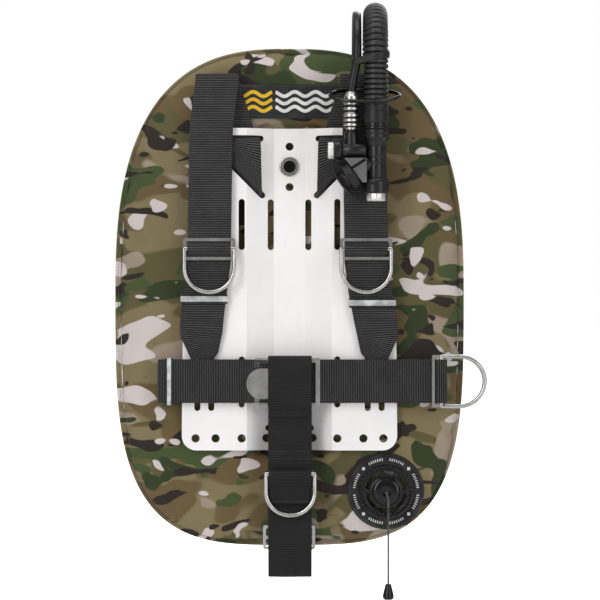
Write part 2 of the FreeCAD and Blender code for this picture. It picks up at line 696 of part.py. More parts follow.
def crotch_loop():
    """Sewn loop that the belt and buckle pass through."""
    middle = (dim("loop_side") + dim("webbing") / 2, -14.15, -108.1)
    outer = box("webbing", "loop_depth", "loop_height", middle)
    inner = box("webbing + 2", "loop_depth - 2 * loop_fabric", "loop_height - 2 * loop_fabric",
                middle)
    return sub_part(cut(outer, inner), "crotch_loop")


def strap_keeper(label, x, z):
    """Woven band round a shoulder strap."""
    centre = (x, dim("strap_layer"), z)
    outer = box("webbing + 5.4", "strap_stack + 2.4", "keeper_height", centre)
    inner = box("webbing + 3", "strap_stack", "keeper_height + 2", centre)
    return sub_part(cut(outer, inner), label)


def belt_keeper():
    """Woven band round both layers of the right belt."""
    layers_middle = (dim("belt_layer") + BELT_REAR) / 2
    centre = (dim("belt_keeper_place"), layers_middle, dim("belt_height") - 0.5)
    band = box("keeper_height - 4", "belt_stack + 2.2", "webbing + 3.6", centre)
    hollow = box("keeper_height", "belt_stack", "webbing + 1.2", centre)
    return sub_part(cut(band, hollow), "belt_keeper")


# ---------------------------------------------------------------- harness metalwork

def d_ring(label, half_width, side, placement):
    """Welded D-ring: a straight bar on the local X axis and a bow hanging below it."""
    wire, reach, drop = "ring_wire / 2", dim(half_width), dim(side)
    pieces = [cylinder(wire, f"2 * {half_width}", (-reach, 0, 0), X_AXIS)]
    for sign in (-1, 1):
        pieces.append(sphere(wire, (sign * reach, 0, 0)))
        pieces.append(cylinder(wire, side, (sign * reach, 0, -drop), Z_AXIS))
    bow = bind(doc.addObject("Part::Torus", "Torus"), Radius1=half_width, Radius2=wire)
    bow.Angle3 = 180.0
    bow.Placement = Placement(Vector(0, 0, -drop), Rotation(Vector(1, 0, 0), -90))
    whole = fuse(*pieces, bow)
    doc.recompute()
    whole.Placement = placement
    return sub_part(whole, label)


def slider(label, tall, placement):
    """Three-bar slider: two windows either side of the bar that the webbing crosses."""
    half, half_bar = "slider_length / 2", 2
    body = padded(label, "XZ_Plane", [(f"-{half}", f"-{tall} / 2"), (half, f"-{tall} / 2"),
                                      (half, f"{tall} / 2"), (f"-{half}", f"{tall} / 2")],
                  "slider_bar")
    windows = new_sketch(body, "XZ_Plane")
    for sign in ("", "-"):
        near, far = f"{sign}({half_bar})", f"{sign}({tall} / 2 - slider_rail)"
        across = f"{half} - slider_rail"
        draw_polygon(windows, [(f"-({across})", near), (across, near),
                               (across, far), (f"-({across})", far)])
    pocket = body.newObject("PartDesign::Pocket", "Windows")
    pocket.Profile = windows
    pocket.Type = "ThroughAll"
    pocket.Midplane = True
    doc.recompute()
    uprights = [f"Edge{number}" for number, edge in enumerate(body.Shape.Edges, start=1)
                if abs(edge.Length - dim("slider_bar")) < 0.01
                and abs(abs(edge.Vertexes[0].Point.x) - dim("slider_length") / 2) < 0.01]
    rounding = body.newObject("PartDesign::Fillet", "Corners")
    rounding.Base = (pocket, uprights)
    bind(rounding, Radius="slider_corner")
    doc.recompute()
    body.Placement = placement
    return sub_part(body, label)


def buckle():
    """Cam buckle: a frame, a lever with a half-round tongue, and the lever's pin."""
    level = dim("buckle_level")
    layer = dim("buckle_front") + dim("buckle_plate") / 2
    through = 10.0
    plate = box("buckle_length", "buckle_plate", "buckle_height",
                (dim("buckle_middle"), layer, level))
    inside = "buckle_height - 2 * buckle_rail"
    window = box("buckle_window", through, inside, (dim("buckle_window_middle"), layer, level))
    gap = box("buckle_gap", through, inside, (dim("buckle_gap_middle"), layer, level))
    ears = []
    for sign in (-1, 1):
        end = level + sign * (dim("buckle_height") - dim("buckle_rail")) / 2
        place = (dim("lever_hinge"), dim("ear_layer"), end)
        ears.append(box("ear_length", "ear_depth", "buckle_rail", place))
    low = level - dim("buckle_height") / 2
    hinge = (dim("lever_hinge"), dim("lever_layer"))
    pin_hole = cylinder("lever_pin / 2 + 0.03", "buckle_height + 2", (*hinge, low - 1))
    sub_part(cut(fuse(cut(plate, window, gap), *ears), pin_hole), "buckle_frame")
    pin_recess = 0.3
    pin = cylinder("lever_pin / 2", f"buckle_height - 2 * {pin_recess}", (*hinge, low + pin_recess))
    sub_part(pin, "buckle_pin")
    buckle_lever(hinge, level)


def buckle_lever(hinge, level):
    """The lever's blade, its half-round tongue and the barrel that turns on the pin."""
    layer = dim("lever_layer")
    tip = dim("lever_tip") + dim("lever_width") / 2
    reach = dim("lever_hinge") - tip
    blade = box(reach, "lever_plate", "lever_width", (tip + reach / 2, layer, level))
    front = layer - dim("lever_plate") / 2
    tongue = cylinder("lever_width / 2", "lever_plate", (tip, front, level), Y_AXIS)
    low = level - dim("lever_width") / 2
    barrel = cylinder("lever_barrel", "lever_width", (*hinge, low))
    bore = cylinder("lever_pin / 2 + 0.06", "lever_width + 2", (*hinge, low - 1))
    sub_part(cut(fuse(blade, tongue, barrel), bore), "buckle_lever")


def upper_metal(slider_layer, ring_layer):
    """A slider and a ring on each shoulder strap."""
    for side, shift, name in ((-1, 0.0, "right"), (1, dim("left_strap_shift"), "left")):
        middle = side * (dim("strap_inner") + shift + dim("webbing") / 2)
        slider(f"chest_slider_{name}", "slider_height",
               Placement(Vector(middle, slider_layer, CHEST_HEIGHT), Rotation()))
        d_ring(f"chest_ring_{name}", "ring_half_width", "ring_side",
               Placement(Vector(middle, ring_layer, CHEST_HEIGHT), Rotation()))


def hip_metal(slider_layer, ring_layer):
    """The slider and the ring on the left belt, turned to lie along it."""
    height = dim("belt_height")
    plate = box("hip_slider_width", "slider_bar", "slider_length",
                (HIP_PLACE - 4.0, slider_layer, height))
    window = box("hip_slider_window", 10, "slider_length - 2 * slider_rail",
                 (HIP_PLACE - 4.75, slider_layer, height))
    sub_part(cut(plate, window), "hip_slider")
    d_ring("hip_ring", "ring_half_width", "ring_side",
           Placement(Vector(HIP_PLACE, ring_layer, height), Rotation(Vector(0, 1, 0), -90)))


def crotch_metal():
    """The slider behind the crotch strap and the ring in front of it."""
    slider("crotch_slider", "(slider_height + 3)",
           Placement(Vector(-0.5, 2.9, dim("crotch_slider_height")), Rotation()))
    d_ring("crotch_ring", "crotch_ring_half_width", "crotch_ring_side",
           Placement(Vector(1.0, *CROTCH_BAR), Rotation()))


def harness():
    shoulder_strap("shoulder_strap_right", -1, 0.0)
    shoulder_strap("shoulder_strap_left", 1, dim("left_strap_shift"))
    right_fold, right_end, left_end = 151.8, 34.2, -20.0
    waist_belt("waist_belt_right", -1, plain_fold(right_fold), right_end)
    waist_belt("waist_belt_left", 1, ring_fold(), left_end)
    crotch_strap()
    crotch_ring_flap()
    crotch_loop()
    strap_keeper("strap_keeper_right", -97.7, -11.2)
    strap_keeper("strap_keeper_left", 95.0, -15.8)
    belt_keeper()
    front = dim("strap_layer")
    to_slider = dim("webbing_thickness") / 2 + 0.2 + dim("slider_bar") / 2
    to_ring = 7.2
    upper_metal(front - to_slider, front - to_ring)
    belt = dim("belt_layer")
    hip_metal(belt - to_slider, belt - to_ring)
    crotch_metal()


# ---------------------------------------------------------------- hoses

def line(start, end):
    return Part.makeLine(Vector(*start), Vector(*end))


def hose_bend(across, start, end):
    """Part of the half-circle in which the hoses cross the top of the wing, in degrees."""
    radius = (dim("hose_back") - dim("hose_front")) / 2
    centre = ((dim("hose_back") + dim("hose_front")) / 2, dim("bend_height"))
    marks = arc(centre, radius, start, end, 2)
    points = [Vector(across, y, z) for y, z in marks]
    return Part.Arc(*points).toShape()


def tube(edges, radius, bore=0.0):
    """A round bar or tube along edges given in order."""
    path = Part.Wire(edges)
    start = edges[0].valueAt(edges[0].FirstParameter)
    heading = edges[0].tangentAt(edges[0].FirstParameter)
    outer = Part.Wire(Part.makeCircle(radius, start, heading))
    shape = path.makePipeShell([outer], True, True)
    if bore:
        inner = Part.Wire(Part.makeCircle(bore, start, heading))
        shape = shape.cut(path.makePipeShell([inner], True, True))
    return shape


def hose_elbow():
    """Elbow on the wing's back that the corrugated hose is pushed onto, and its screw ring."""
    x, back, height = dim("hose_line"), dim("hose_back"), dim("elbow_height")
    bend, radius, bore = dim("elbow_bend"), dim("elbow_radius"), dim("elbow_bore")
    inside = dim("elbow_inside")
    mark = bend * math.sqrt(0.5)
    turn = Part.Arc(Vector(x, back - bend, height),
                    Vector(x, back - bend + mark, height + bend - mark),
                    Vector(x, back, height + bend)).toShape()
    barb = line((x, back, height + bend), (x, back, height + dim("elbow_barb")))
    neck = line((x, inside + 1.5, height), (x, back - bend, height))
    sheet_thickness = dim("elbow_sheet")
    flange = Part.makeCylinder(dim("elbow_flange"), sheet_thickness, Vector(x, inside, height),
                               Vector(0, 1, 0))
    flange = flange.cut(hole_along_y(bore, x, height, inside - 1, inside + sheet_thickness + 1))
    feature("elbow", tube([neck, turn, barb], radius, bore).fuse(flange))
    sub_part(ring("elbow_ring", "elbow_radius + 0.05", "elbow_ring_height",
                  (x, dim("elbow_ring_place"), height), Y_AXIS), "elbow_ring")


def corrugated_hose():
    """The hose in two halves that meet at the top of the bend, its clamps and its cuff."""
    x, front, back = dim("hose_line"), dim("hose_front"), dim("hose_back")
    top, radius, bore = dim("bend_height"), dim("hose_radius"), dim("hose_bore")
    start = dim("elbow_height") + 2 * dim("elbow_bend")
    rear = [line((x, back, start), (x, back, top)), hose_bend(x, 0, 90 - dim("bend_split"))]
    feature("corrugated_hose_rear", tube(rear, radius, bore))
    drop = [hose_bend(x, 90 + dim("bend_split"), 180),
            line((x, front, top), (x, front, dim("hose_end")))]
    feature("corrugated_hose_front", tube(drop, radius, bore))
    outside, inside = "hose_radius + clamp_wall", "hose_radius + 0.05"
    for label, depth, height in (("hose_clamp_rear", back, start + 3.0),
                                 ("hose_clamp_front", front, dim("clamp_place"))):
        sub_part(ring(outside, inside, "clamp_height", (x, depth, height)), label)
    sub_part(ring("hose_radius + cuff_wall", inside, "cuff_height",
                  (x, front, dim("cuff_place"))), "hose_cuff")


def low_pressure_hose():
    """The smooth hose beside the corrugated one, also in two halves, and its lower fitting."""
    top, low, small = dim("lp_top"), dim("lp_line"), dim("lp_radius")
    front, back, bend = dim("hose_front"), dim("hose_back"), dim("bend_height")
    rear = [line((top, back, dim("lp_end")), (top, back, bend)),
            hose_bend(top, 0, 90 - dim("bend_split"))]
    feature("lp_hose_rear", tube(rear, small))
    drop = Part.BSplineCurve()
    drop.interpolate(Points=[Vector(top, front, bend), Vector(low, front, dim("lp_plug"))],
                     InitialTangent=Vector(0, 0, -1), FinalTangent=Vector(0, 0, -1))
    bent = hose_bend(top, 90 + dim("bend_split"), 180)
    feature("lp_hose_front", tube([bent, drop.toShape()], small))
    nut = doc.addObject("Part::Prism", "Prism")
    bind(nut, Circumradius="lp_hexagon", Height="lp_hexagon_height")
    nut.Polygon = 6
    nut.Placement.Base = Vector(top, back, dim("lp_hexagon_place"))
    ferrule = ring("ferrule", "lp_radius + 0.05", "ferrule_height",
                   (top, back, dim("lp_end") - 0.5))
    thread = cylinder("lp_thread", "lp_thread_length",
                      (top, back, dim("lp_hexagon_place") - dim("lp_thread_length") + 0.5))
    sub_part(fuse(nut, ferrule, thread), "lp_hose_fitting")


def hose_ties():
    """The moulded clasp that joins both hoses, and the loose bungee ring below it."""
    x, front = dim("hose_line"), dim("hose_front")
    place = dim("clasp_place")
    sub_part(fuse(ring("hose_radius + 1.3", "hose_radius + 0.05", "clasp_height", (x, front, place)),
                  ring("lp_radius + 1.9", "lp_radius + 0.6", "clasp_height",
                       (dim("lp_top") - 0.2, front, place))), "hose_band")
    centre = Vector(dim("bungee_line"), front, dim("bungee_height"))
    ellipse = Part.Ellipse(Vector(0, 0, 0), dim("bungee_long"), dim("bungee_short")).toShape()
    start = ellipse.valueAt(ellipse.FirstParameter)
    heading = ellipse.tangentAt(ellipse.FirstParameter)
    section = Part.Wire(Part.makeCircle(dim("bungee_wire"), start, heading))
    cord = Part.Wire(ellipse).makePipeShell([section], True, True)
    cord.Placement = Placement(centre, Rotation(Vector(1, 0, 0), dim("bungee_tilt")))
    feature("bungee_ring", cord)


# ---------------------------------------------------------------- power inflator

MOUTH_AXIS = (-0.816, 0.0, -0.578)
# Where the mouthpiece's axis passes the inner end of its grip ring, as (x, z).
MOUTH_PLACE = (73.6, 131.4)


def on_mouth_axis(distance):
    """A point on the mouthpiece's axis, from the inner end of its grip ring."""
    base = (MOUTH_PLACE[0], dim("hose_front"), MOUTH_PLACE[1])
    return tuple(start + distance * step for start, step in zip(base, MOUTH_AXIS))


def inflator_body():
    """Upright tube with its collars, side arm with the coupling's post, and mouth tube."""
    x, y, arm = dim("hose_line"), dim("hose_front"), dim("arm_height")
    top, post = dim("inflator_top"), dim("lp_line")
    low_collar = dim("low_collar_place")
    to_left = (-1, 0, 0)
    solids = [
        cylinder("hose_bore - 0.1", 18.5, (x, y, top - 0.5)),
        cylinder("hose_radius + collar_wall", "top_collar", (x, y, top - dim("top_collar"))),
        cylinder("tube_radius", 56, (x, y, 120)),
        cylinder("hose_radius + collar_wall", "low_collar", (x, y, low_collar)),
        cylinder("arm_radius", "arm_length", (x, y, arm), to_left),
        cylinder("button_ring", "button_ring_length", (dim("button_ring_place"), y, arm), to_left),
        cylinder("post_radius", "post_height", (post, y, arm)),
        cone("post_radius", 6.0, 6.6, (post, y, arm + dim("post_height")), Z_AXIS),
        cylinder("mouth_radius", "mouth_length", on_mouth_axis(-26), MOUTH_AXIS),
        box(24, 5, 22, (87, y, 146)),
    ]
    hollows = [
        cylinder("tube_bore", 80, (x, y, 128)),
        cylinder("mouth_bore", 44, on_mouth_axis(-24), MOUTH_AXIS),
        cylinder("deflate_cap + 0.07", 15, (x, y, low_collar - 0.5)),
        cylinder("inflate_cap + 0.07", 7, (dim("button_seat"), y, arm), to_left),
        cylinder("inflate_stem + 0.07", 10, (65, y, arm), to_left),
    ]
    sub_part(cut(fuse(*solids), *hollows), "inflator_body")


def mouthpiece():
    """Grip ring on the mouth tube and the flange that the diver bites on."""
    sub_part(ring("grip_radius", "mouth_radius + 0.05", "grip_length", on_mouth_axis(-0.6),
                  MOUTH_AXIS), "mouthpiece_ring")
    flange = doc.addObject("Part::Common", "Common")
    flange.Base = cylinder("bite_radius", "bite_sheet", on_mouth_axis(15.5), MOUTH_AXIS)
    flange.Tool = box(80, "bite_depth", 80, on_mouth_axis(16))
    neck = cylinder("mouth_radius - 1", 8, on_mouth_axis(9.1), MOUTH_AXIS)
    bore = cylinder(8.5, 20, on_mouth_axis(3), MOUTH_AXIS)
    sub_part(cut(fuse(flange, neck), bore), "mouthpiece")


def buttons():
    """The inflate button in the arm's end, the deflate button below, and their springs."""
    x, y, arm = dim("hose_line"), dim("hose_front"), dim("arm_height")
    to_left = (-1, 0, 0)
    sub_part(fuse(cylinder("inflate_cap", 8, (52, y, arm), to_left),
                  cylinder("inflate_stem", 8.5, (60, y, arm), to_left)), "inflate_button")
    feature("inflate_spring", spring(6.5, 0.8, 4.6, 2, (52.2, y, arm), X_AXIS))
    height, edge = "deflate_height", 1.5
    sub_part(turned([(0, 0), (f"deflate_cap - {edge}", 0), ("deflate_cap", edge),
                     ("deflate_cap", height), (0, height)], (x, y, dim("deflate_place"))),
             "deflate_button")
    spring_low = dim("deflate_place") + dim("deflate_height") + 0.2
    feature("deflate_spring", spring(8.0, 1.2, 9.6, 4, (x, y, spring_low), Z_AXIS))


def coupling():
    """Quick coupling of the low-pressure hose: the post's nipple, the body and its sleeve."""
    post, y, low = dim("lp_line"), dim("hose_front"), dim("coupling_place")
    sub_part(turned([(0, 0), (5.5, 0), (5.5, 4), (4.5, 4), (4.5, 14), (0, 14)],
                    (post, y, low - 4.2)), "lp_nipple")
    sub_part(turned([(0, 16), (4.56, 16), (4.56, 0), ("coupling_bore", 0), ("coupling_bore", 22),
                     ("coupling_top", 22), ("coupling_top", 34), (6.4, 38), (0, 38)],
                    (post, y, low)), "qd_body")
    sub_part(ring("coupling_sleeve", "coupling_bore + 0.06", "coupling_sleeve_length",
                  (post, y, low - 3.3)), "qd_sleeve")


# ---------------------------------------------------------------- dump valve

CORD_PLACE = (113.3, -12.5)


def valve_windows():
    """Cutters for the six slots between the cap's boss and its notched rim."""
    x, z, place = dim("valve_x"), dim("valve_z"), dim("valve_window_place")
    face_back = 2.45
    tools = []
    for step in range(6):
        angle = math.radians(60 * step + 30)
        centre = (x + place * math.cos(angle), face_back - CUTTER_LENGTH / 2,
                  z + place * math.sin(angle))
        tools.append(slot_tool("valve_window", centre, (-math.sin(angle), 0, math.cos(angle))))
    return tools


def dump_valve():
    x, z = dim("valve_x"), dim("valve_z")
    sub_part(ring("valve_patch", "valve_patch_hole", "valve_patch_sheet", (x, 10.1, z), Y_AXIS),
             "dump_valve_patch")
    boss, neck, flange, bore = "valve_boss", "valve_neck", "valve_flange", "valve_bore"
    sub_part(turned([(boss, 0), (neck, 0), (neck, 11.6), (flange, 11.6), (flange, 14),
                     (boss, 14), (boss, 10), (bore, 10), (bore, 8), (boss, 8)],
                    (x, 4, z), Y_AXIS), "dump_valve_base")
    rim, skirt, thread = "valve_cap", "valve_cap - 3", "valve_neck + 0.15"
    shell = turned([(3, 0), (14, 0), (boss, 2), (boss, 4), ("valve_cap - 2.5", 4),
                    (rim, 6.5), (rim, 13.5), (skirt, 13.5), (skirt, 6.4),
                    ("valve_neck + 2.5", 6.4), ("valve_neck + 2.5", 13), (thread, 13),
                    (thread, 6.4), (3, 6.4)], (x, -4, z), Y_AXIS)
    sub_part(cut(shell, *valve_windows()), "dump_valve_cap")
    stem, disc = "valve_stem", "valve_disc"
    sub_part(turned([(0, 0), (stem, 0), (stem, 13), ("valve_disc - 2.5", 13), (disc, 14),
                     (disc, 15.7), (0, 15.7)], (x, -3.8, z), Y_AXIS), "dump_valve_disc")
    feature("dump_valve_spring", spring(7.0, 1.0, 6.4, 3, (x, 2.6, z), Y_AXIS))
    across, depth = CORD_PLACE
    sub_part(cylinder("cord / 2", "cord_length", (across, depth, dim("cord_low"))), "pull_cord")
    hole, bead = "cord / 2 + 0.05", "bead / 2"
    sub_part(turned([(hole, 0), ("bead / 2 - 2", 0), (bead, 2.6), (bead, 5.4), ("bead / 2 - 1.6", 11),
                     ("bead / 2 - 3.2", 18.4), (hole, 18.4)], (across, depth, dim("bead_low"))),
             "pull_bead")


# ---------------------------------------------------------------- build, check and write

def check_document():
    """Stop if any object failed, or a sub-part's shape is empty or invalid."""
    for thing in doc.Objects:
        if "Invalid" in thing.State or "Error" in thing.State:
            raise RuntimeError(f"{thing.Name} ({thing.Label}) failed: {thing.State}")
    for thing in sub_parts:
        if thing.Shape.isNull() or not thing.Shape.isValid():
            raise RuntimeError(f"{thing.Label} has no valid shape")
        if not thing.Shape.Solids:
            raise RuntimeError(f"{thing.Label} has no solid")


backplate()
bolt_set()
wing()
harness()
buckle()
hose_elbow()
corrugated_hose()
low_pressure_hose()
hose_ties()
inflator_body()
mouthpiece()
buttons()
coupling()
dump_valve()
doc.recompute()
check_document()
os.makedirs("parts", exist_ok=True)
for thing in sub_parts:
    thing.Shape.exportStep(f"parts/{thing.Label}.step")
print(len(sub_parts), "sub-parts written")
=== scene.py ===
import math
import random

import bmesh
import bpy
import numpy as np
from mathutils import Matrix, Vector, noise


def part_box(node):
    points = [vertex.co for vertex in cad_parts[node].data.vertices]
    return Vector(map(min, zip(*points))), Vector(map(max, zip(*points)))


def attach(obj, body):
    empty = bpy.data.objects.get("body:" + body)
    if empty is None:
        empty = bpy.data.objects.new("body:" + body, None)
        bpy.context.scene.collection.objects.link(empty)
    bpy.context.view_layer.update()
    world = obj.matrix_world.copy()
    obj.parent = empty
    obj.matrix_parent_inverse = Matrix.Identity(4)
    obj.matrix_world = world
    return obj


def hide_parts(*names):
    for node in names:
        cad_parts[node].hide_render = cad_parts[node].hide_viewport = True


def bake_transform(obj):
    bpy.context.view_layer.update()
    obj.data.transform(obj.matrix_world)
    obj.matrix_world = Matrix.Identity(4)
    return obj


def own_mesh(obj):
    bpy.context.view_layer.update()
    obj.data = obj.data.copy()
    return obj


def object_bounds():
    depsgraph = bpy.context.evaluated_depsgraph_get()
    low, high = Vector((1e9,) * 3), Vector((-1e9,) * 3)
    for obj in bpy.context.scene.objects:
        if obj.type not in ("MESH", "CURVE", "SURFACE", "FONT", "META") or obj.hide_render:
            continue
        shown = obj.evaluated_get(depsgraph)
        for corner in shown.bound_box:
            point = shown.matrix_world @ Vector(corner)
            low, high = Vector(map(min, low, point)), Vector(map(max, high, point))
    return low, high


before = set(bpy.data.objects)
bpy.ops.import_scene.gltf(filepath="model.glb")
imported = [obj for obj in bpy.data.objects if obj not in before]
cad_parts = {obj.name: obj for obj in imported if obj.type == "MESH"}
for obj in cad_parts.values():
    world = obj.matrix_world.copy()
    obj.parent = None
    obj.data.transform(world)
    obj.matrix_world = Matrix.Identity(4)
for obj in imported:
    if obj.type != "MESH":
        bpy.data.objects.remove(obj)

CAD_BOX = [list(map(float, corner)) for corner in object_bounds()]
MM = 0.001
RIB = 2.0
HOSE_PITCH = 5.95


def low(node):
    return Vector(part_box(node)[0])


def high(node):
    return Vector(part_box(node)[1])


def middle(node):
    return (low(node) + high(node)) / 2


# ---------------------------------------------------------------- shader helpers

def rgb(red, green, blue):
    """Linear colour from display values between 0 and 255."""
    def linear(value):
        value /= 255
        return value / 12.92 if value <= 0.04045 else ((value + 0.055) / 1.055) ** 2.4
    return (linear(red), linear(green), linear(blue), 1.0)


class Shader:
    """A material under construction: a Principled shader and the nodes that feed it."""

    def __init__(self, name, **settings):
        self.material = bpy.data.materials.new(name)
        self.material.use_nodes = True
        self.tree = self.material.node_tree
        self.surface = self.tree.nodes["Principled BSDF"]
        self.set(self.surface, settings)

    def set(self, node, values):
        for name, value in values.items():
            key = name.replace("_", " ") if isinstance(name, str) else name
            socket = node.inputs[key]
            if isinstance(value, bpy.types.NodeSocket):
                self.tree.links.new(value, socket)
            else:
                socket.default_value = value
        return node

    def node(self, kind, values=None, **properties):
        node = self.tree.nodes.new("ShaderNode" + kind)
        for name, value in properties.items():
            setattr(node, name, value)
        return self.set(node, values or {})

    def place(self, kind="Object"):
        return self.node("TexCoord").outputs[kind]

    def math(self, operation, first, second=0.0, third=0.0):
        values = {0: first, 1: second, 2: third}
        return self.node("Math", values, operation=operation).outputs[0]

    def scaled(self, vector, scale, offset=(0, 0, 0), turn=(0, 0, 0)):
        values = {"Vector": vector, "Scale": scale, "Location": offset, "Rotation": turn}
        return self.node("Mapping", values).outputs[0]

    def noise(self, vector, scale, detail=2.0, roughness=0.5, distortion=0.0):
        values = {"Vector": vector, "Scale": scale, "Detail": detail,
                  "Roughness": roughness, "Distortion": distortion}
        return self.node("TexNoise", values)

    def ramp(self, factor, stops, interpolation="LINEAR"):
        """Colour ramp from (position, colour) stops."""
        node = self.node("ValToRGB", {"Fac": factor})
        ramp = node.color_ramp
        ramp.interpolation = interpolation
        while len(ramp.elements) < len(stops):
            ramp.elements.new(0.5)
        for element, (position, colour) in zip(ramp.elements, stops):
            element.position = position
            element.color = colour
        return node.outputs["Color"]

    def step(self, value, edge, soft):
        """0 below an edge and 1 above it, with a narrow soft border."""
        values = {"Value": value, "From Min": edge - soft, "From Max": edge + soft}
        return self.node("MapRange", values, interpolation_type="SMOOTHSTEP").outputs[0]

    def mix(self, factor, first, second, blend="MIX"):
        node = self.node("Mix", data_type="RGBA", blend_type=blend)
        for index, value in ((0, factor), (6, first), (7, second)):
            if isinstance(value, bpy.types.NodeSocket):
                self.tree.links.new(value, node.inputs[index])
            else:
                node.inputs[index].default_value = value
        return node.outputs[2]

    def grey(self, value):
        return (value, value, value, 1.0)

    def bump(self, height, distance, strength=1.0, normal=None):
        values = {"Height": height, "Distance": distance, "Strength": strength}
        if normal is not None:
            values["Normal"] = normal
        return self.node("Bump", values).outputs["Normal"]


# ---------------------------------------------------------------- materials

def camouflage():
    """Woven nylon printed with soft-edged grounds and small hard-edged blotches."""
    s = Shader("camouflage", Roughness=0.78)
    s.set(s.surface, {"Specular IOR Level": 0.12, "Sheen Weight": 0.06})
    place = s.place()
    flat = s.scaled(place, (1.0, 0.25, 1.0))

    def blotch(offset, stretch, scale, edge, soft=0.012, detail=2.5, warp=0.6, turn=0.0):
        spot = s.scaled(flat, stretch, offset, (0, turn, 0))
        value = s.noise(spot, scale, detail, 0.5, warp).outputs["Fac"]
        return s.step(value, edge, soft)

    olive, khaki = rgb(96, 90, 60), rgb(132, 119, 88)
    tan, brown = rgb(160, 145, 128), rgb(108, 92, 64)
    green, forest = rgb(74, 86, 54), rgb(56, 66, 42)
    pale, dark = rgb(212, 202, 199), rgb(52, 45, 41)
    colour = s.mix(blotch((3, 0, 1), (0.8, 1, 1.2), 10, 0.5, 0.014, 2.2, 0.5), khaki, brown)
    colour = s.mix(blotch((9, 0, 2), (0.8, 1, 1.3), 11, 0.56, 0.012, 2.2, 0.5), colour, olive)
    colour = s.mix(blotch((7, 0, 5), (0.7, 1, 1.1), 10, 0.56, 0.008, 2.0, 0.5), colour, tan)
    colour = s.mix(blotch((1, 0, 8), (0.8, 1, 1.25), 15, 0.582, 0.006, 2.2, 0.5), colour, green)
    shade = blotch((1.05, 0, 8.03), (0.8, 1, 1.25), 15, 0.63, 0.008, 2.2, 0.5)
    colour = s.mix(shade, colour, forest)
    colour = s.mix(blotch((4, 0, 3), (0.65, 1, 1.3), 22, 0.652, 0.006, 1.2, 0.5), colour, pale)
    colour = s.mix(blotch((6, 0, 9), (0.6, 1, 1.4), 22, 0.618, 0.006, 1.6, 0.7), colour, dark)
    colour = s.mix(blotch((2, 0, 4), (0.8, 1, 1.3), 42, 0.69, 0.008, 0.5, 0.2), colour, dark)
    colour = s.mix(blotch((5, 0, 6), (0.75, 1, 1.35), 40, 0.695, 0.008, 0.5, 0.2), colour, pale)
    fade = s.noise(place, 5.0, 3.0).outputs["Fac"]
    dusty = s.mix(s.step(fade, 0.5, 0.3), s.grey(0.93), s.grey(1.07))
    colour = s.mix(1.0, colour, dusty, "MULTIPLY")
    warp = s.node("TexWave", {"Vector": place, "Scale": 700.0, "Distortion": 1.5},
                  bands_direction="X").outputs["Fac"]
    weft = s.node("TexWave", {"Vector": place, "Scale": 700.0, "Distortion": 1.5},
                  bands_direction="Z").outputs["Fac"]
    weave = s.math("MULTIPLY", warp, weft)
    thread = s.mix(weave, s.grey(0.9), s.grey(1.04))
    colour = s.mix(1.0, colour, thread, "MULTIPLY")
    s.set(s.surface, {"Base Color": colour})
    rumple = s.noise(place, 38.0, 3.0, 0.55).outputs["Fac"]
    soft = s.bump(rumple, 0.0012, 0.35)
    s.set(s.surface, {"Normal": s.bump(weave, 0.00018, 0.5, soft)})
    return s.material


def webbing(name, groove, ridge, depth=0.5):
    """Ribbed nylon webbing with painted shade in the grooves between its ribs; U runs along the strap in metres
    and V across it.
    """
    s = Shader(name, Roughness=0.62)
    s.set(s.surface, {"Specular IOR Level": 0.14})
    uv = s.place("UV")
    parts = s.node("SeparateXYZ", {"Vector": uv})
    along, across = parts.outputs[0], parts.outputs[1]
    ribs = s.math("SINE", s.math("MULTIPLY", along, 2 * math.pi / (RIB * MM)))
    cords = s.math("SINE", s.math("MULTIPLY", across, 2 * math.pi / (1.1 * MM)))
    half_step = s.math("SINE", s.math("MULTIPLY", along, math.pi / (RIB * MM)))
    twill = s.math("MULTIPLY", cords, half_step)
    worn = s.noise(s.scaled(uv, (1.0, 0.4, 1.0)), 60.0, 4.0, 0.6).outputs["Fac"]
    dust = s.noise(uv, 900.0, 2.0).outputs["Fac"]
    fade = s.ramp(worn, [(0.3, s.grey(0.82)), (0.75, s.grey(1.15))])
    # painted shade: the grooves between the ribs take the dark groove value, the raised ribs the ridge value
    raised = s.step(ribs, 0.3, 0.45)
    base = s.mix(raised, rgb(*[groove] * 3), rgb(*[ridge] * 3))
    fibre = s.mix(s.step(twill, 0.0, 0.9), s.grey(0.86), s.grey(1.12))
    base = s.mix(1.0, base, fibre, "MULTIPLY")
    base = s.mix(1.0, base, fade, "MULTIPLY")
    base = s.mix(s.math("MULTIPLY", s.step(dust, 0.68, 0.05), 0.4), base, rgb(*[ridge * 1.3] * 3))
    s.set(s.surface, {"Base Color": base})
    low_bump = s.bump(ribs, 0.0003, depth)
    s.set(s.surface, {"Normal": s.bump(twill, 0.00012, 0.5, low_bump)})
    return s.material


def satin_plate():
    """Bead-blasted stainless sheet with faint rolling marks and a few handling scuffs."""
    s = Shader("satin_plate", Metallic=0.25, Roughness=0.5)
    place = s.place()
    grain = s.noise(s.scaled(place, (1.0, 1.0, 0.06)), 900.0, 3.0).outputs["Fac"]
    cloud = s.noise(place, 9.0, 4.0, 0.6).outputs["Fac"]
    scuff = s.noise(s.scaled(place, (1.0, 1.0, 0.15), turn=(0, 0.5, 0)), 160.0, 5.0, 0.7)
    marks = s.step(scuff.outputs["Fac"], 0.69, 0.03)
    colour = s.ramp(cloud, [(0.3, rgb(244, 241, 241)), (0.7, rgb(252, 249, 249))])
    colour = s.mix(s.math("MULTIPLY", marks, 0.35), colour, rgb(196, 194, 194))
    s.set(s.surface, {"Base Color": colour})
    rough = s.node("MapRange", {"Value": cloud, "To Min": 0.42, "To Max": 0.56})
    s.set(s.surface, {"Roughness": rough.outputs[0]})
    s.set(s.surface, {"Normal": s.bump(grain, 0.00006, 0.35)})
    return s.material


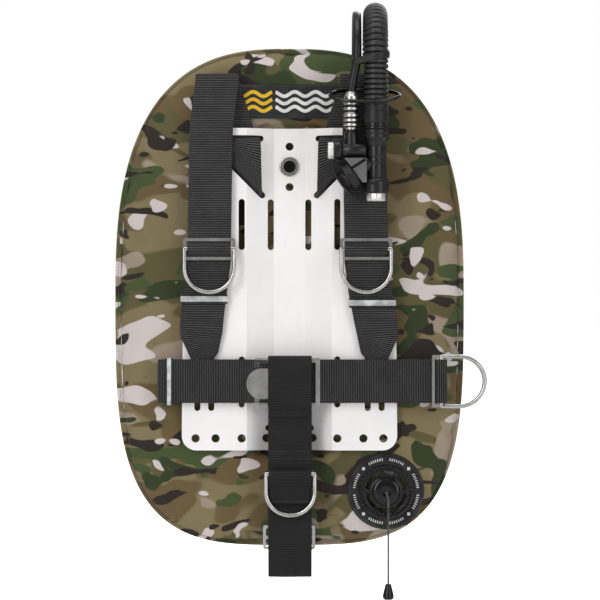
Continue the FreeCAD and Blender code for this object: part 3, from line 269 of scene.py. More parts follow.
def steel(name, shade, roughness, scratch=0.25):
    """Polished or satin stainless steel with fine scratches."""
    s = Shader(name, Metallic=1.0, Roughness=roughness)
    place = s.place()
    smear = s.noise(place, 55.0, 4.0, 0.6).outputs["Fac"]
    lines = s.noise(s.scaled(place, (1.0, 0.3, 0.2), turn=(0.3, 0.6, 0.2)), 420.0, 2.0)
    fine = s.step(lines.outputs["Fac"], 0.62, 0.06)
    tone = [round(shade * part) for part in (1.0, 0.995, 0.985)]
    dull = [round(shade * part * 0.86) for part in (1.0, 0.995, 0.985)]
    s.set(s.surface, {"Base Color": s.ramp(smear, [(0.35, rgb(*dull)), (0.65, rgb(*tone))])})
    rough = s.math("MULTIPLY_ADD", fine, scratch * 0.3, roughness)
    s.set(s.surface, {"Roughness": s.math("MULTIPLY_ADD", smear, 0.08, rough)})
    s.set(s.surface, {"Normal": s.bump(fine, 0.000006, scratch)})
    return s.material


def ribbed_rubber(pitch):
    """Hose rubber whose grooves get painted shade, near black; U runs along the hose in metres."""
    s = Shader("hose_rubber", Roughness=0.42)
    s.set(s.surface, {"Specular IOR Level": 0.5})
    along = s.node("SeparateXYZ", {"Vector": s.place("UV")}).outputs[0]
    phase = s.math("COSINE", s.math("MULTIPLY", along, 2 * math.pi / pitch))
    cloud = s.noise(s.place(), 60.0, 4.0, 0.6).outputs["Fac"]
    dust = s.noise(s.place(), 1300.0, 3.0, 0.6).outputs["Fac"]
    crest = s.ramp(cloud, [(0.3, rgb(28, 28, 29)), (0.7, rgb(44, 44, 45))])
    # painted shade: the grooves between the ribs are coloured near black, the crests keep the rubber's tone
    shade = s.step(phase, -0.35, 0.5)
    s.set(s.surface, {"Base Color": s.mix(shade, rgb(4, 4, 4), crest)})
    s.set(s.surface, {"Normal": s.bump(dust, 0.00006, 0.3)})
    return s.material


def moulded(name, shade, roughness, grain=0.5, sheen=0.0):
    """Moulded plastic or rubber: fine spark-eroded grain, dust and painted highlights on convex edges."""
    s = Shader(name, Roughness=roughness)
    s.set(s.surface, {"Specular IOR Level": 0.4, "Sheen Weight": sheen})
    place = s.place()
    fine = s.noise(place, 1500.0, 3.0, 0.6).outputs["Fac"]
    cloud = s.noise(place, 45.0, 4.0, 0.6).outputs["Fac"]
    # painted highlight: convex edges, found by pointiness, are lightened towards 2.3 times the shade
    edges = s.node("NewGeometry").outputs["Pointiness"]
    edge_highlight = s.step(edges, 0.53, 0.025)
    base = s.ramp(cloud, [(0.3, rgb(*[shade] * 3)), (0.7, rgb(*[shade * 1.3] * 3))])
    base = s.mix(s.math("MULTIPLY", edge_highlight, 0.35), base, rgb(*[shade * 2.3] * 3))
    s.set(s.surface, {"Base Color": base})
    rough = s.node("MapRange", {"Value": cloud, "To Min": roughness - 0.07,
                                "To Max": roughness + 0.09})
    s.set(s.surface, {"Roughness": rough.outputs[0]})
    s.set(s.surface, {"Normal": s.bump(fine, 0.00008, grain)})
    return s.material


def cloth(name, colour, fleck):
    """Plain-woven coated cloth or tape."""
    s = Shader(name, Roughness=0.7)
    s.set(s.surface, {"Specular IOR Level": 0.3, "Sheen Weight": 0.2})
    place = s.place()
    warp = s.node("TexWave", {"Vector": place, "Scale": 420.0}, bands_direction="X")
    weft = s.node("TexWave", {"Vector": place, "Scale": 420.0}, bands_direction="Z")
    weave = s.math("MULTIPLY", warp.outputs["Fac"], weft.outputs["Fac"])
    cloud = s.noise(place, 70.0, 4.0).outputs["Fac"]
    patches = s.step(cloud, 0.5, 0.14)
    base = s.mix(patches, rgb(*colour), rgb(*fleck))
    base = s.mix(1.0, base, s.mix(weave, s.grey(0.8), s.grey(1.1)), "MULTIPLY")
    s.set(s.surface, {"Base Color": base})
    s.set(s.surface, {"Normal": s.bump(weave, 0.00015, 0.6)})
    return s.material


MATERIALS = {
    "camo": camouflage(),
    "webbing": webbing("webbing", 3, 84, 0.7),
    "webbing_bold": webbing("webbing_bold", 3, 92, 0.8),
    "webbing_dense": webbing("webbing_dense", 27, 44, 0.12),
    "plate": satin_plate(),
    "polished": steel("polished_steel", 205, 0.17, 0.06),
    "satin": steel("satin_steel", 176, 0.34, 0.5),
    "chrome": steel("bright_chrome", 222, 0.24, 0.05),
    "bright": steel("bright_cap", 244, 0.36, 0.2),
    "black_bolt": steel("blackened_steel", 34, 0.34, 0.4),
    "plastic": moulded("moulded_plastic", 17, 0.28),
    "web_plastic": moulded("web_plastic", 84, 0.5),
    "gloss": moulded("gloss_black", 7, 0.1, 0.05),
    "valve_black": moulded("valve_black", 5, 0.14, 0.03),
    "rubber": moulded("plain_hose_rubber", 14, 0.3, 0.3),
    "ribbed_rubber": ribbed_rubber(HOSE_PITCH * MM),
    "soft_rubber": moulded("soft_rubber", 15, 0.42, 0.4, 0.02),
    "patch": cloth("patch_cloth", (26, 26, 27), (46, 46, 48)),
    "thread": cloth("dark_thread", (62, 62, 62), (96, 96, 96)),
    "light_thread": cloth("light_thread", (150, 150, 150), (190, 190, 190)),
    "camo_thread": cloth("camo_thread", (92, 84, 62), (128, 116, 90)),
    "yellow": cloth("yellow_print", (226, 178, 26), (240, 194, 40)),
    "white": cloth("white_print", (224, 222, 220), (240, 238, 236)),
    "tape": cloth("grey_tape", (168, 169, 170), (226, 227, 228)),
}

CAD_LOOKS = {
    "plate": ["backplate"],
    "polished": ["chest_ring_left", "chest_ring_right", "hip_ring", "crotch_ring",
                 "chest_slider_left", "chest_slider_right", "hip_slider", "crotch_slider",
                 "buckle_frame", "buckle_lever", "buckle_pin"],
    "satin": ["plate_bolt_washers", "plate_bolt_nuts", "wing_grommets", "inflate_spring",
              "deflate_spring", "dump_valve_spring"],
    "gloss": ["bungee_ring"],
    "black_bolt": ["plate_bolts"],
    "chrome": ["lp_hose_fitting", "lp_nipple", "hose_clamp_front", "hose_clamp_rear"],
    "plastic": ["inflator_body", "mouthpiece_ring", "elbow", "elbow_ring", "dump_valve_base",
                "dump_valve_disc"],
    "soft_rubber": ["mouthpiece", "hose_cuff"],
}


def dress_cad_nodes():
    for look, nodes in CAD_LOOKS.items():
        for name in nodes:
            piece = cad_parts[name]
            piece.data.materials.clear()
            piece.data.materials.append(MATERIALS[look])


# ---------------------------------------------------------------- studio

def add_light(name, place, aim, size, power):
    data = bpy.data.lights.new(name, "AREA")
    data.shape = "RECTANGLE"
    data.size, data.size_y = size
    data.energy = power
    lamp = bpy.data.objects.new(name, data)
    lamp.location = place
    lamp.rotation_euler = (Vector(aim) - Vector(place)).to_track_quat("-Z", "Y").to_euler()
    bpy.context.collection.objects.link(lamp)


def add_world():
    """White to the camera; a bright ceiling and darker sides for what the metal reflects."""
    world = bpy.data.worlds.new("studio")
    bpy.context.scene.world = world
    world.use_nodes = True
    tree = world.node_tree
    back = tree.nodes["Background"]
    place = tree.nodes.new("ShaderNodeTexCoord")
    parts = tree.nodes.new("ShaderNodeSeparateXYZ")
    ramp = tree.nodes.new("ShaderNodeValToRGB")
    shift = tree.nodes.new("ShaderNodeMath")
    shift.operation = "MULTIPLY_ADD"
    shift.inputs[1].default_value = 0.5
    shift.inputs[2].default_value = 0.5
    tree.links.new(place.outputs["Generated"], parts.inputs[0])
    tree.links.new(parts.outputs[2], shift.inputs[0])
    tree.links.new(shift.outputs[0], ramp.inputs[0])
    stops = [(0.0, 0.75), (0.30, 0.55), (0.43, 0.26), (0.5, 0.5), (0.62, 0.9), (1.0, 1.0)]
    while len(ramp.color_ramp.elements) < len(stops):
        ramp.color_ramp.elements.new(0.5)
    for element, (position, value) in zip(ramp.color_ramp.elements, stops):
        element.position = position
        element.color = (value, value, value, 1.0)
    tree.links.new(ramp.outputs[0], back.inputs["Color"])
    back.inputs["Strength"].default_value = 0.42
    plain = tree.nodes.new("ShaderNodeBackground")
    plain.inputs["Color"].default_value = (1.0, 1.0, 1.0, 1.0)
    path = tree.nodes.new("ShaderNodeLightPath")
    pick = tree.nodes.new("ShaderNodeMixShader")
    tree.links.new(path.outputs["Is Camera Ray"], pick.inputs[0])
    tree.links.new(back.outputs[0], pick.inputs[1])
    tree.links.new(plain.outputs[0], pick.inputs[2])
    tree.links.new(pick.outputs[0], tree.nodes["World Output"].inputs["Surface"])


def add_floor():
    """A pale floor a little below the lowest piece."""
    level = CAD_BOX[0][2] - 0.05
    data = bpy.data.meshes.new("floor")
    span = 40.0
    corners = [(-span, -span, level), (span, -span, level), (span, span, level),
               (-span, span, level)]
    data.from_pydata(corners, [], [(0, 1, 2, 3)])
    floor = bpy.data.objects.new("floor", data)
    bpy.context.collection.objects.link(floor)
    s = Shader("pale_floor", Roughness=0.9)
    cloud = s.noise(s.place(), 1.5, 2.0).outputs["Fac"]
    s.set(s.surface, {"Base Color": s.mix(cloud, s.grey(0.93), s.grey(0.97))})
    seen = s.node("LightPath").outputs["Is Camera Ray"]
    s.set(s.surface, {"Emission Color": s.grey(1.0),
                      "Emission Strength": s.math("MULTIPLY", seen, 0.9)})
    floor.data.materials.append(s.material)


def add_camera():
    """Straight in front of the diver's side, with a long lens."""
    data = bpy.data.cameras.new("camera")
    distance, shown = 4.0, 0.69
    data.sensor_width = 36.0
    data.lens = data.sensor_width * distance / shown
    camera = bpy.data.objects.new("camera", data)
    plate = middle("backplate")
    camera.location = (plate.x + 0.0121, -distance, plate.z - 0.0124)
    camera.rotation_euler = (math.pi / 2, 0, 0)
    bpy.context.collection.objects.link(camera)
    bpy.context.scene.camera = camera


def add_studio():
    add_world()
    add_floor()
    add_light("key", (-1.6, -2.6, 1.1), (0, 0, 0), (0.9, 2.8), 38)
    add_light("fill", (2.2, -2.6, 0.6), (0, 0, 0), (1.6, 2.2), 22)
    add_light("top", (0.0, -0.3, 2.4), (0, 0, 0), (2.2, 1.2), 24)
    add_light("rear", (0.6, 2.6, 1.4), (0, 0, 0), (2.0, 1.6), 32)
    add_camera()
    view = bpy.context.scene.view_settings
    view.view_transform = "Standard"
    view.look = "None"


# ---------------------------------------------------------------- mesh helpers

def mesh_piece(name, points, faces, looks, body="root", replaces=(), smooth=True, uvs=None):
    """A mesh object from points in metres, riding on a body."""
    data = bpy.data.meshes.new(name)
    data.from_pydata([tuple(map(float, point)) for point in points], [], faces)
    if uvs is not None:
        layer = data.uv_layers.new(name="UVMap")
        index = np.zeros(len(data.loops), dtype=np.int32)
        data.loops.foreach_get("vertex_index", index)
        layer.data.foreach_set("uv", np.asarray(uvs, dtype=np.float32)[index].ravel())
    if smooth:
        data.polygons.foreach_set("use_smooth", [True] * len(data.polygons))
    piece = bpy.data.objects.new(name, data)
    bpy.context.collection.objects.link(piece)
    for look in ([looks] if isinstance(looks, str) else looks):
        data.materials.append(MATERIALS[look])
    if body:
        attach(piece, body)
    if replaces:
        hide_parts(*replaces)
    return piece


def add_bevel(piece, width, segments=2, angle=35):
    modifier = piece.modifiers.new("bevel", "BEVEL")
    modifier.width = width
    modifier.segments = segments
    modifier.limit_method = "ANGLE"
    modifier.angle_limit = math.radians(angle)


def add_subdivision(piece, levels=1):
    modifier = piece.modifiers.new("subdivision", "SUBSURF")
    modifier.levels = levels
    modifier.render_levels = levels


def grid_faces(rows, columns, closed_rows=False, closed_columns=False):
    """Quads between neighbouring points of a grid stored row by row."""
    faces = []
    for row in range(rows if closed_rows else rows - 1):
        after = (row + 1) % rows
        for column in range(columns if closed_columns else columns - 1):
            beside = (column + 1) % columns
            faces.append((row * columns + column, row * columns + beside,
                          after * columns + beside, after * columns + column))
    return faces


def even_steps(points, step, closed=False):
    """The same polyline with points at even steps along it."""
    points = np.asarray(points, dtype=float)
    if closed:
        points = np.vstack([points, points[:1]])
    lengths = np.linalg.norm(np.diff(points, axis=0), axis=1)
    along = np.concatenate([[0.0], np.cumsum(lengths)])
    count = max(int(round(along[-1] / step)), 2)
    marks = np.linspace(0.0, along[-1], count + 1)
    if closed:
        marks = marks[:-1]
    return np.stack([np.interp(marks, along, points[:, axis]) for axis in range(3)], axis=1)


def rounded(points, reach):
    """A polyline with its corners eased over a number of points; its ends stay."""
    points = np.asarray(points, dtype=float)
    kernel = np.exp(-0.5 * (np.arange(-3 * reach, 3 * reach + 1) / max(reach, 1)) ** 2)
    kernel /= kernel.sum()
    pad = 3 * reach
    pad = min(pad, len(points) - 1)
    before = 2 * points[0] - points[1:pad + 1][::-1]
    after = 2 * points[-1] - points[-pad - 1:-1][::-1]
    padded = np.vstack([before, points, after])
    lanes = [np.convolve(padded[:, axis], kernel, mode="same") for axis in range(3)]
    return np.stack(lanes, axis=1)[pad:pad + len(points)]


def unit(vectors):
    return vectors / np.maximum(np.linalg.norm(vectors, axis=-1, keepdims=True), 1e-12)


def sweep(name, centres, radius_at, sides, look, body="root", replaces=(), cap=True, hint=(1, 0, 0)):
    """A round body along centres, its radius a function of the distance along."""
    centres = np.asarray(centres, dtype=float)
    tangents = unit(np.gradient(centres, axis=0))
    first = unit(np.cross(tangents, np.asarray(hint, dtype=float)))
    second = np.cross(tangents, first)
    along = np.concatenate([[0], np.cumsum(np.linalg.norm(np.diff(centres, axis=0), axis=1))])
    angles = np.linspace(0, 2 * math.pi, sides, endpoint=False)
    radii = np.array([radius_at(place) for place in along])
    points = (centres[:, None] + radii[:, None, None] *
              (np.cos(angles)[None, :, None] * first[:, None]
               + np.sin(angles)[None, :, None] * second[:, None]))
    faces = grid_faces(len(centres), sides, closed_columns=True)
    if cap:
        last = (len(centres) - 1) * sides
        faces.append(tuple(range(sides)))
        faces.append(tuple(last + side for side in reversed(range(sides))))
    uvs = np.stack([np.repeat(along, sides), np.tile(angles * 0.01, len(centres))], axis=1)
    return mesh_piece(name, points.reshape(-1, 3), faces, look, body, replaces, uvs=uvs)


def turned(name, profile, place, axis, look, body="root", replaces=(), sides=64, closed=False):
    """A body of revolution from (radius, height) corners in millimetres."""
    turn = Vector((0, 0, 1)).rotation_difference(Vector(axis)).to_matrix()
    points = []
    for radius, height in profile:
        for side in range(sides):
            angle = 2 * math.pi * side / sides
            spot = Vector((radius * math.cos(angle), radius * math.sin(angle), height)) * MM
            points.append(Vector(place) + turn @ spot)
    faces = grid_faces(len(profile), sides, closed_rows=closed, closed_columns=True)
    if not closed:
        last = (len(profile) - 1) * sides
        faces.append(tuple(reversed(range(sides))))
        faces.append(tuple(last + side for side in range(sides)))
    piece = mesh_piece(name, points, [tuple(reversed(face)) for face in faces], look, body, replaces)
    return piece


def stitches(name, line, stitch, gap, thickness, look, body="root", up=(0, -1, 0)):
    """A row of short threads lying on a surface along a line, all in metres."""
    line = even_steps(line, stitch + gap)
    up = Vector(up)
    points, faces = [], []
    rings, sides = 4, 5
    for start, end in zip(line[:-1], line[1:]):
        start, end = Vector(start), Vector(end)
        run = (end - start).normalized()
        side = run.cross(up).normalized()
        raise_by = side.cross(run).normalized()
        base = len(points)
        for ring in range(rings):
            share = ring / (rings - 1)
            swell = math.sin(math.pi * (0.12 + 0.76 * share))
            centre = start + run * (stitch * share + gap / 2) + raise_by * thickness * 0.35 * swell
            for corner in range(sides):
                angle = 2 * math.pi * corner / sides
                spread = side * math.cos(angle) + raise_by * math.sin(angle)
                points.append(centre + spread * thickness / 2 * swell)
        for face in grid_faces(rings, sides, closed_columns=True):
            faces.append(tuple(base + corner for corner in face))
        faces.append(tuple(base + corner for corner in reversed(range(sides))))
        faces.append(tuple(base + (rings - 1) * sides + corner for corner in range(sides)))
    return mesh_piece(name, points, faces, look, body)


# ---------------------------------------------------------------- wing

WING = {
    "half_width": high("wing_edge_binding").x, "top": high("wing_edge_binding").z,
    "bottom": low("wing_edge_binding").z, "upper_power": 2.7, "lower_power": 3.5,
    "seam": middle("wing_edge_binding").y, "front": low("wing_front_panel").y,
    "back": high("wing_back_panel").y, "binding": 6.0 * MM, "flank": 28.0 * MM,
    "trough_width": 44.0 * MM, "trough_height": 190.0 * MM, "trough_flank": 10.0 * MM,
    "front_floor": 26.4 * MM, "back_floor": 32.5 * MM,
}


def outline(half_width, half_top, half_bottom, powers, centre, count):
    """Superellipse outline, each quarter in even steps, from +X over the top."""
    loop = []
    fine = np.linspace(0, math.pi / 2, 600)
    for quarter in range(4):
        upper = quarter < 2
        power = powers[0] if upper else powers[1]
        tall = half_top if upper else half_bottom
        across = half_width * np.cos(fine) ** (2 / power)
        up = tall * np.sin(fine) ** (2 / power)
        if quarter % 2:
            across, up = across[::-1], up[::-1]
        flip_x = -1 if quarter in (1, 2) else 1
        flip_z = 1 if upper else -1
        dense = np.stack([across * flip_x, np.zeros_like(fine), up * flip_z + centre], axis=1)
        lengths = np.concatenate([[0], np.cumsum(np.linalg.norm(np.diff(dense, axis=0), axis=1))])
        marks = np.linspace(0, lengths[-1], count + 1)[:-1]
        loop.append(np.stack([np.interp(marks, lengths, dense[:, k]) for k in range(3)], axis=1))
    return np.vstack(loop)


def inset(loop, distance):
    """A closed loop in the XZ plane moved inwards."""
    run = unit(np.roll(loop, -1, axis=0) - np.roll(loop, 1, axis=0))
    inward = np.stack([-run[:, 2], np.zeros(len(loop)), run[:, 0]], axis=1)
    return loop + inward * distance


def quarter_round(share):
    share = np.clip(share, 0.0, 1.0)
    return np.sqrt(1 - (1 - share) ** 2)


def wing_edge(count=60):
    middle_height = (WING["top"] + WING["bottom"]) / 2
    half = (WING["top"] - WING["bottom"]) / 2
    powers = (WING["upper_power"], WING["lower_power"])
    return outline(WING["half_width"], half, half, powers, middle_height, count)


def wing_sheet(edge, hole, crown, floor, rings, floor_rings):
    """Rows of points from the seam over the crown and into the trough's floor."""
    span = np.linalg.norm(hole - edge, axis=1)
    rows = []
    for ring in range(rings + 1):
        share = 0.5 - 0.5 * math.cos(math.pi * ring / rings)
        row = edge + (hole - edge) * share
        outer = quarter_round(share * span / WING["flank"])
        inner = quarter_round((1 - share) * span / WING["trough_flank"])
        row[:, 1] = crown + (WING["seam"] - crown) * (1 - outer) + (floor - crown) * (1 - inner)
        rows.append(row)
    for ring in range(1, floor_rings):
        row = hole * (1 - ring / floor_rings)
        row[:, 1] = floor
        rows.append(row)
    return rows


def settle(piece, fixed, pressure, growth, reach):
    """Let the fabric swell between its seams and lie in soft folds, then keep the result."""
    rest = np.empty(len(piece.data.vertices) * 3)
    piece.data.vertices.foreach_get("co", rest)
    rest = rest.reshape(-1, 3)
    group = piece.vertex_groups.new(name="seams")
    group.add([int(index) for index in fixed], 1.0, "REPLACE")
    modifier = piece.modifiers.new("cloth", "CLOTH")
    fabric = modifier.settings
    fabric.quality = 5
    fabric.mass = 0.3
    fabric.tension_stiffness = 25
    fabric.compression_stiffness = 25
    fabric.bending_stiffness = 0.6
    fabric.use_pressure = True
    fabric.uniform_pressure_force = pressure
    fabric.shrink_min = -growth
    fabric.vertex_group_mass = "seams"
    fabric.effector_weights.gravity = 0.0
    modifier.point_cache.frame_start = 1
    modifier.point_cache.frame_end = 20
    scene = bpy.context.scene
    for step in range(1, 21):
        scene.frame_set(step)
    view = piece.evaluated_get(bpy.context.evaluated_depsgraph_get())
    swollen = np.empty(len(rest) * 3)
    view.data.vertices.foreach_get("co", swollen)
    moved = swollen.reshape(-1, 3) - rest
    piece.modifiers.remove(modifier)
    length = np.linalg.norm(moved, axis=1, keepdims=True)
    moved *= np.minimum(1.0, reach / np.maximum(length, 1e-9))
    piece.data.vertices.foreach_set("co", (rest + moved).ravel())
    piece.data.update()
    scene.frame_set(1)


def wing_skin():
    """Front and back sheets sewn at the outer seam, held down around the plate's channel."""
    edge = inset(wing_edge(), WING["binding"])
    count = len(edge)
    hole = outline(WING["trough_width"], WING["trough_height"], WING["trough_height"],
                   (8.0, 8.0), 0.0, count // 4)
    rings, floor_rings = 20, 6
    front = wing_sheet(edge, hole, WING["front"], WING["front_floor"], rings, floor_rings)
    back = wing_sheet(edge, hole, WING["back"], WING["back_floor"], rings, floor_rings)
    front[0][:, 1] = back[0][:, 1] = WING["seam"]
    rows = back[:0:-1] + front
    points = [point for row in rows for point in row]
    faces = grid_faces(len(rows), count, closed_columns=True)
    fixed = []
    for number in range(len(rows)):
        if abs(number - (len(back) - 1)) in (0,) or abs(number - (len(back) - 1)) >= rings:
            fixed += range(number * count, (number + 1) * count)
    for floor, first in ((WING["back_floor"], 0), (WING["front_floor"], (len(rows) - 1) * count)):
        centre = len(points)
        points.append((0.0, floor, 0.0))
        fixed.append(centre)
        for column in range(count):
            pair = (first + column, first + (column + 1) % count)
            faces.append((*(pair[::-1] if first == 0 else pair), centre))
    piece = mesh_piece("wing_skin", points, faces, "camo", None)
    settle(piece, fixed, 3.0, 0.05, 3.6 * MM)
    pucker(piece, edge)
    add_subdivision(piece)
    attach(piece, "root")
    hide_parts("wing_front_panel", "wing_back_panel", "wing_bladder")


def pucker(piece, edge):
    """Small gathers along the outer seam and slow rumples over the whole skin."""
    tree_points = even_steps(edge, 4 * MM, closed=True)
    points = np.empty(len(piece.data.vertices) * 3)
    piece.data.vertices.foreach_get("co", points)
    points = points.reshape(-1, 3)
    flat = tree_points[:, [0, 2]]
    for index, point in enumerate(points):
        gaps = np.hypot(flat[:, 0] - point[0], flat[:, 1] - point[2])
        nearest = int(np.argmin(gaps))
        gap = gaps[nearest]
        along = nearest * 4 * MM
        gather = noise.noise(Vector((along * 95.0, 0.3, 0.0))) * 1.1 * MM
        fade = math.exp(-((gap - 9 * MM) / (10 * MM)) ** 2) if gap > 1 * MM else 0.0
        slow = noise.noise(Vector((point[0] * 14, 3.0, point[2] * 14))) * 1.4 * MM
        inside = 1.0 if gap > 30 * MM else gap / (30 * MM)
        outwards = -1.0 if point[1] < WING["seam"] else 1.0
        trough = abs(point[0]) < WING["trough_width"] and abs(point[2]) < WING["trough_height"]
        if not trough:
            points[index, 1] += outwards * (gather * fade + slow * inside * 0.6)
    keep_clear(points)
    piece.data.vertices.foreach_set("co", points.ravel())
    piece.data.update()


def keep_clear(points):
    """Hold the skin off the badge, the straps behind the plate, the valve and the elbow."""
    x, y, z = points.T
    front = y < WING["seam"]
    badge_low, badge_high = low("wing_patch"), high("wing_patch")
    valve_place, elbow = middle("dump_valve_cap"), middle("elbow_ring")
    clear = MM
    floor_of = np.full(len(points), WING["front"] - 3 * MM)
    badge = (abs(x) < badge_high.x + 4 * clear) & (z > badge_low.z - 4 * clear) & (z < badge_high.z + 4 * clear)
    floor_of[badge] = WING["front"] + 0.3 * clear
    straps = (abs(x) > 44 * MM) & (abs(x) < 92 * MM) & (z > 96 * MM) & (z < 188 * MM)
    floor_of[straps] = WING["front"] + 3.5 * clear
    round_valve = np.hypot(x - valve_place.x, z - valve_place.z) < 47 * MM
    floor_of[round_valve] = WING["front"] + 0.3 * clear
    y[front] = np.maximum(y[front], floor_of[front])
    back = ~front
    roof = np.full(len(points), WING["back"] + 3 * MM)
    roof[np.hypot(x - elbow.x, z - elbow.z) < 29 * MM] = WING["back"] - 0.2 * clear
    y[back] = np.minimum(y[back], roof[back])


def wing_binding():
    """The sewn flange around the wing: two plies, a rolled edge and two rows of stitching."""
    edge = wing_edge(120)
    width, seam = WING["binding"], WING["seam"]
    profile = [(0.0, 0.0), (0.15, -1.3), (0.9, -2.1), (2.2, -2.3), (3.4, -1.9), (4.4, -1.75),
               (5.4, -1.9), (6.6, -2.4), (6.6, 2.4), (5.4, 1.9), (4.4, 1.75), (3.4, 1.9),
               (2.2, 2.3), (0.9, 2.1), (0.15, 1.3)]
    rows = []
    for distance, depth in profile:
        row = inset(edge, distance * MM)
        row[:, 1] = seam + depth * MM
        rows.append(row)
    points = np.vstack(rows)
    faces = grid_faces(len(rows), len(edge), closed_rows=True, closed_columns=True)
    mesh_piece("wing_flange", points, faces, "camo", "root", ("wing_edge_binding",))
    for name, distance, depth, up in (("flange_stitching_front", 0.62, -1.85, (0, -1, 0)),
                                      ("flange_stitching_back", 0.62, 1.85, (0, 1, 0))):
        row = inset(edge, width * distance)
        row[:, 1] = seam + depth * MM
        stitches(name, np.vstack([row, row[:1]]), 2.6 * MM, 1.0 * MM, 0.5 * MM,
                 "camo_thread", up=up)


# ---------------------------------------------------------------- webbing

WEBBING = 50.0
THICKNESS = 2.4
BAND_SECTION = [(-0.5, 0.0), (-0.495, 0.62), (-0.475, 1.0), (-0.43, 0.9), (-0.2, 1.0), (0.0, 1.04),
                (0.2, 1.0), (0.43, 0.9), (0.475, 1.0), (0.495, 0.62), (0.5, 0.0), (0.495, -0.62),
                (0.475, -1.0), (0.43, -0.9), (0.2, -1.0), (0.0, -1.04), (-0.2, -1.0),
                (-0.43, -0.9), (-0.475, -1.0), (-0.495, -0.62)]


def band(name, stations, body="root", replaces=(), thickness=THICKNESS, ease=3.0, wander=0.35,
         look="webbing", seed=0.0):
    """Ribbed webbing through stations, each the two edge points of its middle in millimetres."""
    step = RIB / 5
    edges = np.array([[list(left), list(right)] for left, right in stations], dtype=float)
    middles = edges.mean(axis=1)
    lengths = np.concatenate([[0], np.cumsum(np.linalg.norm(np.diff(middles, axis=0), axis=1))])
    marks = np.arange(0.0, lengths[-1], step)
    lanes = []
    for side in range(2):
        lane = np.stack([np.interp(marks, lengths, edges[:, side, axis]) for axis in range(3)], axis=1)
        lanes.append(rounded(lane, int(ease / step)))
    left, right = lanes
    middle_line = (left + right) / 2
    across = right - left
    width = np.linalg.norm(across, axis=1)
    across = unit(across)
    normal = unit(np.cross(np.gradient(middle_line, axis=0), across))
    drift = np.array([noise.noise(Vector((mark * 0.011, seed, 1.7))) for mark in marks]) * wander
    swell = np.sin(marks * 2 * math.pi / RIB) * (0.05 if look == "webbing_dense" else 0.13)
    points, uvs = [], []
    for share, height in BAND_SECTION:
        rib = swell if abs(share) < 0.47 else swell * 0.4
        rise = height * thickness / 2 + math.copysign(1, height) * rib * (height != 0)
        cup = np.array([noise.noise(Vector((mark * 0.02, share * 2.2, seed + 9))) for mark in marks])
        lift = rise + drift + cup * wander
        points.append(middle_line + across * (share * width)[:, None] + normal * lift[:, None])
        uvs.append(np.stack([marks, np.full(len(marks), share * WEBBING)], axis=1))
    sides = len(BAND_SECTION)
    cloud = np.stack(points, axis=1).reshape(-1, 3) * MM
    faces = grid_faces(len(marks), sides, closed_columns=True)
    last = (len(marks) - 1) * sides
    faces.append(tuple(reversed(range(sides))))
    faces.append(tuple(last + side for side in range(sides)))
    faces = [tuple(reversed(face)) for face in faces]
    uv = np.stack(uvs, axis=1).reshape(-1, 2) * MM
    piece = mesh_piece(name, cloud, faces, look, body, replaces, uvs=uv)
    return piece


def curve(centre, radius, start, end, steps=8):
    """Points on a circle, between two angles in degrees."""
    angles = [math.radians(start + (end - start) * step / steps) for step in range(steps + 1)]
    return [(centre[0] + radius * math.cos(a), centre[1] + radius * math.sin(a)) for a in angles]


def upright(path, height, width=WEBBING):
    """Stations of a belt whose path lies in the XY plane."""
    return [((x, y, height - width / 2), (x, y, height + width / 2)) for x, y in path]


def level(path, across, width=WEBBING):
    """Stations of a strap whose path lies in the YZ plane."""
    return [((across - width / 2, y, z), (across + width / 2, y, z)) for y, z in path]


def shoulder_strap(label, side):
    """Webbing from behind the plate, over the shoulder and down to the waist slot."""
    slider = middle(f"chest_slider_{label}") / MM
    plate_top = high("backplate").z / MM
    fold_top = high(f"shoulder_strap_{label}").z / MM
    slot = plate_top - 11.8
    front, radius = -8.0, 7.0
    inner = abs(slider.x) - WEBBING / 2
    low_edge = 75.5 + (inner - 67.0) / 2
    edges = [((31.6, 18.0, 94.0), (81.0, 5.4, 143.0)), ((31.6, 16.5, 105.9), (81.1, 4.9, 155.3)),
             ((31.6, -1.8, 110.9), (81.1, -1.8, 160.3)), ((33, -1.8, slot - 2.5), (83, -1.8, slot - 2.5)),
             ((36.0, 14.6, slot + 2.5), (86.0, 4.9, slot + 2.5)),
             ((42.3, 9.7, slot + 14.3), (92.3, 5.4, slot + 14.3))]
    for depth, height in curve((front + radius, fold_top - radius - 1.2), radius, 0, 180, 6):
        edges.append(((58, depth, height), (58 + WEBBING, depth, height)))
    edges.append(((inner - 2, front, slot + 9.3), (inner - 2 + WEBBING, front, slot + 9.3)))
    for rise, depth in ((13, 0), (8, 0), (2.9, -11.1), (-2.9, -11.1), (-8, 0), (-13, 0)):
        height = slider.z + rise
        edges.append(((inner, front + depth, height), (inner + WEBBING, front + depth, height)))
    edges += [((inner + 5, front, -5.5), (inner + 5 + WEBBING, front, -5.5)),
              ((low_edge, front, -34.0), (low_edge + WEBBING, front, -34.0)),
              ((77.0, -6.6, -50.0), (126.0, -6.6, -52.0)), ((82.0, -5.2, -74.0), (109.0, -5.2, -90.0)),
              ((92.5, -1.8, -83.0), (92.5, -1.8, -133.0)), ((87.5, 4.8, -83.0), (87.5, 4.8, -133.0)),
              ((82.0, 5.2, -83.0), (82.0, 5.2, -133.0))]
    stations = [[(side * x, y, z) for x, y, z in pair] for pair in edges]
    if side < 0:
        stations = [pair[::-1] for pair in stations]
    name = f"shoulder_strap_{label}"
    band(f"{name}_webbing", stations, replaces=(name,), seed=side * 3.0, look="webbing_bold")


